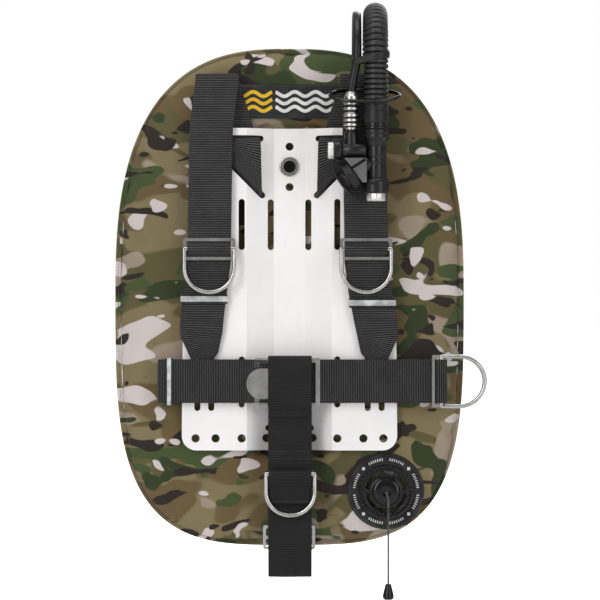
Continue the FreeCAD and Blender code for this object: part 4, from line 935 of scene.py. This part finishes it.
def waist_belts():
    """Both belt halves: out from the waist slots, folded, and back to the buckle."""
    height = middle("waist_belt_left").z / MM
    front, rear, slot = -11.0, -2.0, 106.0
    start = [(slot - 9, 5.2), (slot - 2.5, 4.8), (slot + 2.5, -1.8), (slot + 9, rear)]
    radius = (rear - front) / 2
    fold = -low("waist_belt_right").x / MM - THICKNESS / 2 - radius
    turn = curve((fold, rear - radius), radius, 90, -90)
    tip = -low("buckle_frame").x / MM
    cover = -13.8
    turn += [(tip + 12, front), (tip + 3, cover), (tip - 15, cover)]
    path = [(-x, y) for x, y in start + turn]
    band("waist_belt_right_webbing", upright(path, height), replaces=("waist_belt_right",),
         ease=2.0, wander=0.2, seed=21.0)
    ring = (low("hip_ring").x / MM) + 2.5
    angles = [math.radians(90 - 22.5 * step) for step in range(9)]
    loop = [(ring - 1.0 + 6.8 * math.cos(a), -12.4 + 10.4 * math.sin(a)) for a in angles]
    path = start + loop + [(ring - 3.2, -22.3), (ring - 5.6, front - 2.0), (ring - 7.2, front - 0.2),
                           (ring - 14.0, front), (-20.0, front)]
    band("waist_belt_left_webbing", upright(path, height), replaces=("waist_belt_left",),
         ease=1.4, seed=27.0)


def crotch_webbing():
    """The doubled crotch strap, the loop at its top and the flap that holds its ring."""
    across = middle("crotch_strap").x / MM
    slider = middle("crotch_slider").z / MM
    bottom = low("crotch_strap").z / MM + 8.2
    rear = [(0.0, slider - 9), (6.0, slider - 3.5), (6.0, slider + 3.5), (0.0, slider + 9),
            (-2.4, -196.0), (-2.0, -184.0), (13.2, -161.8), (22.9, -158.8), (24.4, -157.0),
            (24.9, -154.0), (24.9, -121.0)]
    path = [(-13.8, -139.0)] + curve((-7.0, bottom), 7.0, 180, 360) + rear
    strap = band("crotch_strap_webbing", level(path, across), None, ("crotch_strap",), seed=33.0,
                 look="webbing_dense")
    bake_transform(strap)
    loop = [(-13.6, -143.0), (-7.6, -138.6), (-5.6, -131.0), (-5.6, -84.0), (-7.6, -78.4),
            (-13.8, -77.0), (-20.2, -78.4), (-22.8, -84.0), (-22.8, -126.0), (-21.4, -133.5),
            (-16.4, -138.5), (-16.0, -147.0)]
    band("crotch_loop_webbing", level(loop, across), "crotch_loop", ("crotch_loop",), ease=1.6,
         seed=39.0, look="webbing_dense")
    bar = middle("crotch_ring")
    bar = (high("crotch_ring").y / MM - 2.5, high("crotch_ring").z / MM - 2.5)
    flap = [(-16.8, -245.0), (-16.8, -224.0)] + curve(bar, 4.0, 0, 180)
    flap += [(-26.6, bar[1] - 4.0), (-19.5, -228.0), (-19.4, -246.0)]
    band("crotch_flap_webbing", level(flap, across, WEBBING - 1.0), "root",
         ("crotch_ring_flap",), ease=1.2, wander=0.15, seed=45.0, look="webbing_dense")
    rows = ((-186.0, -15.3), (-194.0, -15.3), (-219.4, -22.9), (-242.9, -20.7))
    for number, (height, depth) in enumerate(rows):
        line = [((across - 22) * MM, depth * MM, height * MM), ((across + 22) * MM, depth * MM, height * MM)]
        row = stitches(f"crotch_stitching_{number}", line, 2.2 * MM, 1.2 * MM, 0.7 * MM, "thread", None)
        if number < 2:
            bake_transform(row)
        else:
            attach(row, "root")


def wrap(name, centre, size, depth, height, thickness, look, axis="Z", tilt=0.0):
    """A flat band round a stack of webbing; its section is a thin rounded strip."""
    half, deep, corner = size / 2, depth / 2, min(depth / 2, 2.0)
    path = []
    for sign_x, sign_y, start in ((1, 1, 0), (-1, 1, 90), (-1, -1, 180), (1, -1, 270)):
        spot = (sign_x * (half - corner), sign_y * (deep - corner))
        path += curve(spot, corner, start, start + 90, 4)
    section = [(0.0, -0.5), (0.0, -0.2), (0.0, 0.2), (0.0, 0.5), (0.5, 0.5), (1.0, 0.42), (1.0, 0.2),
               (1.0, -0.2), (1.0, -0.42), (0.5, -0.5)]
    points = []
    for index, (x, y) in enumerate(path):
        before, after = path[index - 1], path[(index + 1) % len(path)]
        run = Vector((after[0] - before[0], after[1] - before[1])).normalized()
        for out, rise in section:
            spot = (x + run.y * out * thickness, y - run.x * out * thickness, rise * height)
            if axis == "X":
                spot = (spot[2], spot[1], spot[0])
            else:
                spot = (spot[0], spot[1], spot[2] + spot[0] * tilt)
            points.append((Vector(centre) + Vector(spot)) * MM)
    faces = grid_faces(len(path), len(section), closed_rows=True, closed_columns=True)
    if axis == "X":
        faces = [tuple(reversed(face)) for face in faces]
    return mesh_piece(name, points, faces, look)


def keepers():
    """Elastic keepers faced with grey reflective tape."""
    for label in ("left", "right"):
        node = f"strap_keeper_{label}"
        centre = middle(node) / MM
        size = (high(node) - low(node)) / MM
        sleeve = wrap(f"{node}_sleeve", centre, WEBBING + 1.2, 3.4, size.z, 1.2, "patch")
        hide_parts(node)
        wrap(f"{node}_tape", centre, WEBBING + 3.8, 6.0, size.z - 4.6, 0.35, "tape")
    centre = middle("belt_keeper") / MM
    size = (high("belt_keeper") - low("belt_keeper")) / MM
    depth = size.y - 2.2
    sleeve = wrap("belt_keeper_sleeve", centre, WEBBING + 1.4, depth, size.x + 3, 1.1, "patch", "X")
    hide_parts("belt_keeper")
    wrap("belt_keeper_tape", centre, WEBBING + 3.8, depth + 2.4, size.x - 2.4, 0.35, "tape", "X")


# ---------------------------------------------------------------- hoses

def hose_path(across_top, front_line, rear_end):
    """Centre line of a hose: up the front, over the top of the bend and down the back."""
    front, back = -30.0, 68.0
    bend = 268.5
    radius = (back - front) / 2
    arch = [(across_top, y, z) for y, z in curve((front + radius, bend), radius, 180, 0, 40)]
    path = front_line + arch + [(across_top, back, rear_end)]
    return np.array(path, dtype=float) * MM


def corrugated_hose():
    """Moulded rubber hose with broad ribs and narrow grooves."""
    pitch, depth = HOSE_PITCH * MM, 2.2 * MM
    radius = high("corrugated_hose_front").x - middle("corrugated_hose_front").x
    path = even_steps(hose_path(99.0, [(99.0, -30.0, 183.0)], 229.0), 0.42 * MM)
    path = rounded(path, 12)

    def radius_at(place):
        phase = (place / pitch) % 1.0 - 0.5
        groove = math.exp(-(phase / 0.14) ** 2)
        return radius - depth * groove

    hose = sweep("corrugated_hose", path, radius_at, 48, "ribbed_rubber", None,
                 ("corrugated_hose_front", "corrugated_hose_rear"))
    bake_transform(hose)


def low_pressure_hose():
    """Smooth rubber hose beside the corrugated one."""
    top = middle("lp_hose_rear").x / MM
    low_line = middle("qd_body").x / MM
    drop = []
    for step in range(12):
        share = step / 12
        ease = share * share * (3 - 2 * share)
        drop.append((low_line + (top - low_line) * ease, -30.0, 223.0 + (268.5 - 223.0) * share))
    path = rounded(even_steps(hose_path(top, drop, 188.4), 1.5 * MM), 3)
    hose = sweep("low_pressure_hose", path, lambda place: 5.0 * MM, 28, "rubber", None,
                 ("lp_hose_front", "lp_hose_rear"))
    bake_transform(hose)


def hose_strap():
    """Moulded band that ties both hoses together; it sits aslant."""
    large, small = (99.0, 14.3), (77.4, 5.3)
    depth, height, slant = -30.0, 263.0, 0.22
    path = []
    tilt = math.degrees(math.acos((large[1] - small[1]) / (large[0] - small[0])))
    for angle in np.linspace(-180 + tilt, 180 - tilt, 40):
        turn = math.radians(angle)
        path.append((large[0] + large[1] * math.cos(turn), large[1] * math.sin(turn)))
    for angle in np.linspace(180 - tilt, 180 + tilt, 16):
        turn = math.radians(angle)
        path.append((small[0] + small[1] * math.cos(turn), small[1] * math.sin(turn)))
    section = [(0.0, -4.0), (0.0, 4.0), (0.7, 4.3), (1.3, 3.6), (1.45, 0.0), (1.3, -3.6), (0.7, -4.3)]
    points = []
    for index, (x, y) in enumerate(path):
        before, after = path[index - 1], path[(index + 1) % len(path)]
        run = Vector((after[0] - before[0], after[1] - before[1])).normalized()
        for out, rise in section:
            spot = (x + run.y * out, depth + y - run.x * out, height + rise + (x - 90) * slant)
            points.append(Vector(spot) * MM)
    faces = grid_faces(len(path), len(section), closed_rows=True, closed_columns=True)
    piece = mesh_piece("hose_strap", points, faces, "soft_rubber", "inflator", ("hose_band",))
    add_subdivision(piece)


# ---------------------------------------------------------------- power inflator

def soft_profile(corners, radius=0.8, steps=3):
    """A turning profile with each inner corner replaced by a small round."""
    points = [Vector(corner) for corner in corners]
    result = [tuple(points[0])]
    for before, here, after in zip(points, points[1:], points[2:]):
        reach = min(radius, (here - before).length * 0.45, (after - here).length * 0.45)
        start = here + (before - here).normalized() * reach
        end = here + (after - here).normalized() * reach
        for step in range(steps + 1):
            share = step / steps
            curve_point = start.lerp(here, share).lerp(here.lerp(end, share), share)
            result.append(tuple(curve_point))
    result.append(tuple(points[-1]))
    return result


def knurled(name, radius, height, place, axis, look, body, replaces=(), teeth=24, bite=0.35,
            hollow=0.0, ridge_from=0.0, ridge_to=1.0):
    """A button or sleeve whose side carries straight knurls between two heights."""
    turn = Vector((0, 0, 1)).rotation_difference(Vector(axis)).to_matrix()
    sides = teeth * 6
    inner = max(hollow, radius * 0.55)
    levels = [(inner, 0.0), (radius - 1.6, 0.0), (radius - 0.7, 0.25), (radius - 0.15, 0.8),
              (radius, 1.4), (radius, height * 0.35), (radius, height * 0.7),
              (radius, height - 1.2), (radius - 0.4, height - 0.4), (radius - 1.2, height),
              (inner, height)]
    points = []
    for reach, rise in levels:
        share = rise / height
        cut = bite if ridge_from <= share <= ridge_to and reach > radius - 0.8 else 0.0
        for side in range(sides):
            angle = 2 * math.pi * side / sides
            wave = 0.5 + 0.5 * math.cos(angle * teeth)
            spread = reach - cut * (1 - wave ** 0.6)
            spot = Vector((spread * math.cos(angle), spread * math.sin(angle), rise)) * MM
            points.append(Vector(place) + turn @ spot)
    faces = grid_faces(len(levels), sides, closed_rows=bool(hollow), closed_columns=True)
    if not hollow:
        last = (len(levels) - 1) * sides
        faces.append(tuple(reversed(range(sides))))
        faces.append(tuple(last + side for side in range(sides)))
    return mesh_piece(name, points, [tuple(reversed(face)) for face in faces], look, body, replaces)


def ridged(low_radius, high_radius, start, end, pitch):
    """Profile corners of round ridges between two heights."""
    corners = []
    place = start
    while place + pitch <= end + 0.01:
        corners += [(low_radius, place), (low_radius, place + pitch * 0.28),
                    (high_radius, place + pitch * 0.45), (high_radius, place + pitch * 0.85)]
        place += pitch
    return corners


def inflator_details():
    line = middle("deflate_button")
    x, y = line.x, line.y
    arm = middle("inflate_button").z
    post = middle("qd_body").x
    cuff = [(14.05, 189.6), (14.4, 189.6), (14.8, 190.6), (14.7, 201.5), (14.1, 204.0), (13.9, 205.0),
            (14.5, 206.0), (14.5, 210.2), (14.1, 211.2), (14.05, 211.2)]
    turned("hose_cuff_rubber", soft_profile(cuff), (x, y, 0), (0, 0, 1), "soft_rubber", "inflator",
           ("hose_cuff",))
    clamp = [(14.05, 182.5), (14.9, 182.5), (15.3, 183.2), (15.3, 184.9), (14.6, 185.5),
             (14.6, 186.1), (15.3, 186.7), (15.3, 188.4), (14.9, 189.2), (14.05, 189.2)]
    turned("hose_clamp_band", soft_profile(clamp, 0.4), (x, y, 0), (0, 0, 1), "gloss", "inflator",
           ("hose_clamp_front",))
    collar = [(10.3, 163.0), (11.2, 163.6), (11.9, 168.4), (14.0, 171.6), (14.9, 172.6), (14.9, 176.0),
              (14.3, 176.7), (14.3, 177.6), (15.1, 178.3), (15.1, 181.4), (14.3, 182.3), (10.3, 182.3)]
    turned("inflator_top_collar", soft_profile(collar), (x, y, 0), (0, 0, 1), "plastic", "inflator",
           ("inflator_body",))
    sleeve = [(8.2, 126.0), (10.0, 126.2), (10.0, 143.5), (10.6, 145.0), (10.7, 147.0),
              (10.3, 148.4), (10.3, 150.2), (10.9, 151.4), (10.9, 153.0), (10.5, 154.0),
              (10.6, 163.4), (8.2, 163.6)]
    turned("inflator_tube_sleeve", soft_profile(sleeve, 0.5), (x, y, 0), (0, 0, 1), "plastic",
           "inflator")
    lower = [(11.2, 109.0), (14.0, 109.0), (15.0, 110.2), (15.1, 121.6), (14.2, 124.4), (11.6, 126.6),
             (10.1, 127.2)]
    turned("inflator_lower_collar", soft_profile(lower, 1.2), (x, y, 0), (0, 0, 1), "plastic",
           "inflator")
    turned("drain_port", [(0.0, 0), (1.5, 0), (1.9, 0.4), (2.3, 0.4), (2.3, -1.2), (0.0, -1.2)],
           (x - 4.2 * MM, y - 14.7 * MM, 0.1206), (-0.27, -1, 0), "gloss", "inflator", sides=20)
    ring = [(9.8, 0.0), (10.6, 0.0), (11.7, 0.9), (11.9, 2.0), (11.9, 7.4), (11.2, 9.0),
            (9.4, 9.6), (8.6, 9.8)]
    turned("button_collar", soft_profile(ring), (0.0503, y, arm), (1, 0, 0), "plastic", "inflator")
    tube = [(8.55, 0.0), (8.95, 0.3), (8.95, 27.0), (8.55, 27.4)]
    turned("inflator_arm_sleeve", tube, (0.0596, y, arm), (1, 0, 0), "plastic", "inflator")
    knurled("inflate_button_cap", 9.65, 8.2, (0.0521, y, arm), (-1, 0, 0), "bright",
            "inflate_button", ("inflate_button",), teeth=14, bite=0.55, ridge_from=0.3)
    knurled("deflate_button_cap", 10.95, 13.8, (x, y, 0.1141), (0, 0, -1), "bright",
            "deflate_button", ("deflate_button",), teeth=12, bite=0.7, ridge_from=0.65)
    dome = [(7.9, 157.0), (8.2, 166.0), (8.3, 172.0), (8.0, 176.0), (7.1, 179.4), (6.2, 181.4),
            (5.4, 181.9), (0.0, 181.9)]
    turned("quick_connect_post", soft_profile(dome, 1.2), (post, y, 0), (0, 0, 1), "plastic",
           "inflator", sides=48)
    body = [(7.2, 200.4)] + ridged(7.4, 8.8, 202.0, 214.0, 6.0)
    body += [(7.6, 215.0), (8.5, 216.4), (8.5, 219.8), (6.6, 222.6), (6.0, 225.0), (5.1, 225.2),
             (5.1, 186.3), (7.02, 186.3), (7.02, 200.4)]
    turned("quick_connect_body", soft_profile(body, 0.35), (post, y, 0), (0, 0, 1), "chrome",
           "inflator", ("qd_body",), sides=48, closed=True)
    sleeve = [(7.08, 183.0), (8.2, 183.0)] + ridged(7.9, 9.0, 184.0, 200.0, 5.3)
    sleeve += [(8.2, 200.8), (7.08, 200.8)]
    turned("quick_connect_sleeve", soft_profile(sleeve, 0.35), (post, y, 0), (0, 0, 1), "chrome",
           "qd_sleeve", ("qd_sleeve",), sides=48, closed=True)
    # gloss-black rings set into the grooves of the chrome coupling: painted shade in the grooves
    groove = [(7.3, 0.0), (8.3, 0.1), (8.5, 0.9), (8.3, 1.7), (7.3, 1.8)]
    heights = [(184.0 + 5.3 * step, "qd_sleeve") for step in range(3)]
    heights += [(201.6 + 6.0 * step, "inflator") for step in range(3)]
    for number, (height, body_name) in enumerate(heights):
        turned(f"coupling_groove_shade_{number}", soft_profile(groove, 0.3), (post, y, height * MM),
               (0, 0, 1), "gloss", body_name, sides=40, closed=True)
    gusset(x, y, arm)
    mouthpiece(y)


def gusset(x, y, arm):
    """Triangular web between the arm and the tube, with a raised diagonal rib."""
    corners = [(0.0625, arm - 0.009), (x - 0.0108, arm - 0.009), (x - 0.0108, 0.1215),
               (0.0832, 0.1215), (0.0665, 0.1445)]
    deep = 12.4 * MM
    points = [(px, y - deep, pz) for px, pz in corners]
    points += [(px, y + deep, pz) for px, pz in corners]
    faces = [tuple(range(5)), tuple(reversed(range(5, 10)))]
    faces += [((i + 1) % 5, i, i + 5, (i + 1) % 5 + 5) for i in range(5)]
    web = mesh_piece("inflator_web", points, faces, "web_plastic", "inflator", smooth=False)
    add_bevel(web, 0.5 * MM)
    start, end = Vector((0.0705, y, 0.1375)), Vector((x - 0.0122, y, arm - 0.0105))
    run = (end - start).normalized()
    side = Vector((run.z, 0, -run.x))
    points = []
    for place in (start, end):
        for across, rise in ((-1.7, -12.0), (-1.2, -13.6), (1.2, -13.6), (1.7, -12.0)):
            points.append(place + side * across * MM + Vector((0, rise * MM, 0)))
    faces = [(0, 1, 5, 4), (1, 2, 6, 5), (2, 3, 7, 6), (3, 0, 4, 7), (3, 2, 1, 0), (4, 5, 6, 7)]
    rib = mesh_piece("inflator_web_rib", points, faces, "gloss", "inflator", smooth=False)
    add_bevel(rib, 0.4 * MM)


def mouthpiece(y):
    """Oral inflation mouthpiece: a grip ring and a thin curved flange."""
    axis = Vector((-0.816, 0.0, -0.578)).normalized()
    base = Vector((0.0736, y, 0.1314))
    grip = [(12.1, -0.8), (15.9, -0.8), (17.2, 0.4), (17.3, 2.0), (16.9, 4.4), (17.3, 6.8),
            (17.2, 8.6), (16.0, 9.6), (12.1, 9.6)]
    turned("mouthpiece_grip", soft_profile(grip, 0.9), base, axis, "soft_rubber", "inflator",
           ("mouthpiece_ring",), sides=72, closed=True)
    tube = [(7.0, -24.0), (8.4, -22.0), (9.6, -14.0), (11.6, -8.0), (11.9, -2.0), (11.9, 8.6),
            (9.0, 8.6)]
    turned("mouth_tube", soft_profile(tube, 1.0), base, axis, "plastic", "inflator")
    neck = [(8.6, 8.0), (11.2, 8.0), (10.4, 11.0), (10.6, 14.0), (12.8, 16.6), (8.6, 16.6)]
    turned("mouthpiece_neck", soft_profile(neck, 1.0), base, axis, "soft_rubber", "inflator",
           closed=True)
    tall = axis.cross(Vector((0, 1, 0))).normalized()
    rings, sides = 9, 72
    sheets = []
    for thick in (0.0, 1.6):
        rows = []
        for ring in range(rings):
            share = 0.36 + 0.64 * ring / (rings - 1)
            row = []
            for side in range(sides):
                angle = 2 * math.pi * side / sides
                up, deep = math.cos(angle), math.sin(angle)
                long = 22.4 * share * abs(up) ** 0.9 * math.copysign(1, up)
                wide = 14.6 * share * abs(deep) ** 0.9 * math.copysign(1, deep)
                curl = 2.6 * (deep * share) ** 2 - 1.5 * (up * share) ** 2
                edge = 0.5 * thick * (share > 0.99)
                row.append(base + axis * (15.6 + curl + thick - edge) * MM + tall * long * MM
                           + Vector((0, wide * MM, 0)))
            rows.append(row)
        sheets.append(rows)
    rows = sheets[0] + sheets[1][::-1]
    points = [point for row in rows for point in row]
    faces = grid_faces(len(rows), sides, closed_rows=True, closed_columns=True)
    flange = mesh_piece("mouthpiece_flange", points, faces, "soft_rubber", "inflator",
                        ("mouthpiece",))
    add_subdivision(flange)


# ---------------------------------------------------------------- dump valve

def valve():
    """Dump valve on the wing: a sewn patch ring and a toothed cap; its pull cord is made by pull_cord."""
    base = middle("dump_valve_cap")
    place = Vector((base.x, low("dump_valve_cap").y, base.z))
    edge = (high("dump_valve_patch").x - low("dump_valve_patch").x) / 2 / MM
    front = low("dump_valve_patch").y
    ring = [(24.0, 0.2), (25.0, -0.5), (31.0, -0.9), (37.0, -0.9), (42.0, -0.7), (edge - 0.8, -0.3),
            (edge, 0.3), (edge, 1.3), (edge - 0.6, 1.6), (24.0, 1.6)]
    turned("valve_patch_ring", ring, (place.x, front, place.z), (0, 1, 0), "patch", "root",
           ("dump_valve_patch",), sides=128, closed=True)
    for name, radius, depth in (("valve_stitching_outer", 41.6, -0.95), ("valve_stitching_inner", 31.9, -1.15)):
        angles = np.linspace(0, 2 * math.pi, 240)
        line = np.stack([place.x + radius * MM * np.cos(angles), np.full(240, front + depth * MM),
                         place.z + radius * MM * np.sin(angles)], axis=1)
        stitches(name, line, 2.2 * MM, 1.0 * MM, 0.55 * MM, "thread")
    valve_marks(place, front)
    valve_cap(place)


def valve_marks(place, front):
    """Printed ring on the patch: eight groups of plain ticks, a diamond at each diagonal."""
    points, faces = [], []
    tick = [(-0.55, -1.5), (-0.55, 1.5), (0.55, 1.5), (0.55, -1.5)]
    diamond = [(-2.4, 0.0), (0.0, 2.4), (2.4, 0.0), (0.0, -2.4)]
    marks = [(math.radians(90 * quarter + 45), diamond) for quarter in range(4)]
    for quarter in range(4):
        for group in (-1, 1):
            for number in range(7):
                turn = 90 * quarter + group * (7 + 4.1 * number)
                marks.append((math.radians(turn), tick))
    for angle, shape in marks:
        reach = Vector((math.cos(angle), 0, math.sin(angle)))
        side = Vector((-math.sin(angle), 0, math.cos(angle)))
        centre = Vector((place.x, front - 1.05 * MM, place.z)) + reach * 36.8 * MM
        first = len(points)
        for depth in (0.0, 0.25):
            for across, out in shape:
                points.append(centre + (side * across + reach * out + Vector((0, depth, 0))) * MM)
        faces.append((first, first + 1, first + 2, first + 3))
        faces.append((first + 7, first + 6, first + 5, first + 4))
        for corner in range(4):
            after = (corner + 1) % 4
            faces.append((first + after, first + corner, first + corner + 4, first + after + 4))
    mesh_piece("valve_patch_marks", points, faces, "white", smooth=False)


def valve_cap(place):
    """The screwed cap: flat boss, six arched windows between spokes, a rim of grip notches."""
    sides, notches, windows, half_window = 288, 36, 6, 23.0
    front = [(3.1, -3.9), (6.0, -4.0), (10.0, -3.9), (13.0, -3.6), (15.0, -2.8), (16.0, -1.2),
             (16.1, 0.2), (17.0, 0.6), (17.6, 0.7), (24.0, 0.7), (25.0, 0.4), (25.6, -0.6),
             (28.6, -1.0), (29.6, -1.2), (31.0, 0.6), (31.5, 3.0), (31.5, 9.4)]
    behind = [(28.4, 9.4), (28.4, 2.6), (24.0, 2.6), (17.6, 2.6), (3.1, 2.6)]
    rings = front + behind
    inner, outer = 8, 9
    far_outer, far_inner = len(front) + 2, len(front) + 3
    points = []
    for number, (radius, height) in enumerate(rings):
        for side in range(sides):
            angle = 2 * math.pi * side / sides
            tooth = side % (sides // notches) < sides // notches / 2 and number < len(front)
            reach = radius - (0.8 if tooth and radius > 31.2 else 0.0)
            depth = height + (1.3 if tooth and 25.3 < radius < 30.0 else 0.0)
            spot = Vector((reach * math.cos(angle), 0, reach * math.sin(angle))) * MM
            points.append(Vector((place.x, depth * MM, place.z)) + spot)

    def open_at(side):
        turn = (side + 0.5) * 360 / sides
        return abs(turn % (360 / windows) - 180 / windows) < half_window

    faces = []
    for ring in range(len(rings)):
        for side in range(sides):
            if open_at(side) and ring in (inner, far_outer):
                continue
            after, next_ring = (side + 1) % sides, (ring + 1) % len(rings)
            faces.append((ring * sides + side, ring * sides + after,
                          next_ring * sides + after, next_ring * sides + side))
    for side in range(sides):
        before, after = (side - 1) % sides, (side + 1) % sides
        if open_at(side):
            for near, far in ((inner, far_inner), (far_outer, outer)):
                faces.append((near * sides + side, near * sides + after,
                              far * sides + after, far * sides + side))
        if open_at(side) and not open_at(before):
            faces.append((inner * sides + side, far_inner * sides + side,
                          far_outer * sides + side, outer * sides + side))
        if open_at(before) and not open_at(side):
            faces.append((outer * sides + side, far_outer * sides + side,
                          far_inner * sides + side, inner * sides + side))
    cap = mesh_piece("valve_cap", points, faces, "valve_black", "root", ("dump_valve_cap",))
    add_bevel(cap, 0.25 * MM)


def coil(node, axis, fixed_low, turns, wire, body):
    """A coil spring in the place of its CAD node."""
    lower, upper, centre = low(node), high(node), middle(node)
    across, beside = [number for number in range(3) if number != axis]
    radius = (upper[across] - lower[across] - wire) / 2
    length = upper[axis] - lower[axis]
    path = []
    for step in range(turns * 28 + 1):
        angle = 2 * math.pi * step / 28
        spot = Vector(centre)
        spot[across] += radius * math.cos(angle)
        spot[beside] += radius * math.sin(angle)
        spot[axis] = lower[axis] + wire / 2 + (length - wire) * step / (turns * 28)
        path.append(spot)
    along = Vector([float(number == axis) for number in range(3)])
    piece = sweep(f"{node}_coil", path, lambda place: wire / 2, 10, "polished", body, (node,), hint=along)
    anchor = Vector(centre)
    anchor[axis] = lower[axis] if fixed_low else upper[axis]
    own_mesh(piece)


def springs():
    """The springs behind both inflator buttons and behind the dump valve's cap."""
    coil("inflate_spring", 0, False, 3, 1.0 * MM, "inflator")
    coil("deflate_spring", 2, False, 4, 1.0 * MM, "inflator")
    coil("dump_valve_spring", 1, True, 3, 1.0 * MM, "root")


def pull_cord():
    """Braided cord from the valve's middle to a moulded bead."""
    x, y = middle("pull_cord").x, middle("pull_cord").y
    cap = middle("dump_valve_cap")
    top, bottom = high("pull_cord").z, low("pull_cord").z + 0.006
    strand_count, pitch = 4, 9.0 * MM
    drop = even_steps([(x, y, bottom), (x, y, top - 0.004)], 0.8 * MM)
    bend = [(x, y, top - 0.004), (x - 0.0006, y + 0.002, top), (cap.x, -0.0066, cap.z + 0.0005), (cap.x, -0.0056, cap.z)]
    path = rounded(even_steps(np.vstack([drop, bend[1:]]), 0.8 * MM), 3)
    for strand in range(strand_count):
        shifted = []
        tangents = unit(np.gradient(path, axis=0))
        for index, point in enumerate(path):
            run = Vector(tangents[index])
            first = run.cross(Vector((1, 0, 0))).normalized()
            second = run.cross(first)
            angle = 2 * math.pi * (index * 0.8 * MM / pitch + strand / strand_count)
            shifted.append(Vector(point) + (first * math.cos(angle) + second * math.sin(angle)) * 0.55 * MM)
        sweep(f"pull_cord_strand_{strand}", shifted, lambda place: 0.62 * MM, 8, "thread",
              "dump_cord", ("pull_cord",) if strand == 0 else ())
    bottom = low("pull_bead").z / MM
    bead = [(1.3, 0.0), (3.9, 0.0), (5.9, 1.1), (6.45, 3.4), (6.1, 6.6), (5.0, 11.0), (3.9, 15.2),
            (3.3, 18.0), (2.6, 18.4), (1.3, 18.4)]
    turned("pull_bead_moulding", soft_profile(bead, 1.4), (x, y, bottom * MM), (0, 0, 1), "gloss",
           "dump_cord", ("pull_bead",), sides=40)


# ---------------------------------------------------------------- patch and small parts

def patch():
    """Sewn badge on the wing with plain wave lines and a stitched border."""
    centre, size = middle("wing_patch"), high("wing_patch") - low("wing_patch")
    front = low("wing_patch").y
    columns, rows = 40, 14
    points = []
    for layer, depth in ((0, -0.4 * MM), (1, size.y)):
        for row in range(rows + 1):
            for column in range(columns + 1):
                across = column / columns * 2 - 1
                up = row / rows * 2 - 1
                rim = 1 - max(abs(across) ** 24, abs(up) ** 10)
                puff = -0.9 * MM * max(rim, 0.0) ** 0.5 if layer == 0 else 0.0
                points.append((centre.x + across * size.x / 2, front + depth + puff + 0.4 * MM,
                               centre.z + up * size.z / 2))
    stride = (rows + 1) * (columns + 1)
    sheet = grid_faces(rows + 1, columns + 1)
    faces = list(sheet) + [tuple(stride + corner for corner in reversed(face)) for face in sheet]
    border = [column for column in range(columns + 1)]
    border += [row * (columns + 1) + columns for row in range(1, rows + 1)]
    border += [rows * (columns + 1) + column for column in reversed(range(columns))]
    border += [row * (columns + 1) for row in reversed(range(1, rows))]
    for here, after in zip(border, border[1:] + border[:1]):
        faces.append((after, here, here + stride, after + stride))
    mesh_piece("wing_badge", points, faces, "patch", "root", ("wing_patch",))
    top = front - 0.95 * MM
    frame_line = []
    for across, up in ((-1, -1), (1, -1), (1, 1), (-1, 1), (-1, -1)):
        frame_line.append((centre.x + across * (size.x / 2 - 2.4 * MM), top + 0.5 * MM,
                           centre.z + up * (size.z / 2 - 2.4 * MM)))
    stitches("badge_stitching", frame_line, 2.2 * MM, 0.9 * MM, 0.5 * MM, "thread")
    for number, (look, start, end) in enumerate((("yellow", -54, -20), ("white", -16, 54))):
        for lane, height in enumerate((-8.5, 0.0, 8.5)):
            wave(f"badge_wave_{number}_{lane}", centre, top, start, end, height, look)


def wave(name, centre, top, start, end, height, look):
    steps = 60
    points = []
    for step in range(steps + 1):
        x = start + (end - start) * step / steps
        z = height + 2.6 * math.sin(2 * math.pi * x / 24.0)
        slope = 2.6 * 2 * math.pi / 24.0 * math.cos(2 * math.pi * x / 24.0)
        run = Vector((1, 0, slope)).normalized()
        for side, depth in ((-1, 0.0), (1, 0.0), (1, 0.6), (-1, 0.6)):
            spot = Vector((x - run.z * side * 2.0, 0, z + run.x * side * 2.0))
            points.append(Vector((centre.x + spot.x * MM, top + (depth - 0.35) * MM,
                                  centre.z + spot.z * MM)))
    faces = grid_faces(steps + 1, 4, closed_columns=True)
    last = steps * 4
    faces += [(3, 2, 1, 0), (last, last + 1, last + 2, last + 3)]
    mesh_piece(name, points, [tuple(reversed(face)) for face in faces], look, smooth=False)


def rolled_edges():
    """Steel bead round each bolt's washer, as the plate's washers have."""
    lower, upper = low("plate_bolt_washers"), high("plate_bolt_washers")
    radius = (upper.x - lower.x) / 2 / MM
    for number, height in enumerate((upper.z - radius * MM, lower.z + radius * MM)):
        rim = [(radius - 2.4, 0.2), (radius - 2.0, -0.5), (radius - 1.2, -0.8), (radius - 0.3, -0.5),
               (radius + 0.15, 0.3), (radius + 0.15, 1.2), (radius - 2.4, 1.2)]
        turned(f"washer_rim_{number}", rim, (middle("plate_bolt_washers").x, lower.y, height),
               (0, 1, 0), "polished", "root", closed=True)


def build():
    dress_cad_nodes()
    wing_skin()
    wing_binding()
    patch()
    shoulder_strap("right", -1)
    shoulder_strap("left", 1)
    waist_belts()
    crotch_webbing()
    keepers()
    corrugated_hose()
    low_pressure_hose()
    hose_strap()
    inflator_details()
    valve()
    pull_cord()
    springs()
    rolled_edges()
    add_studio()


build()
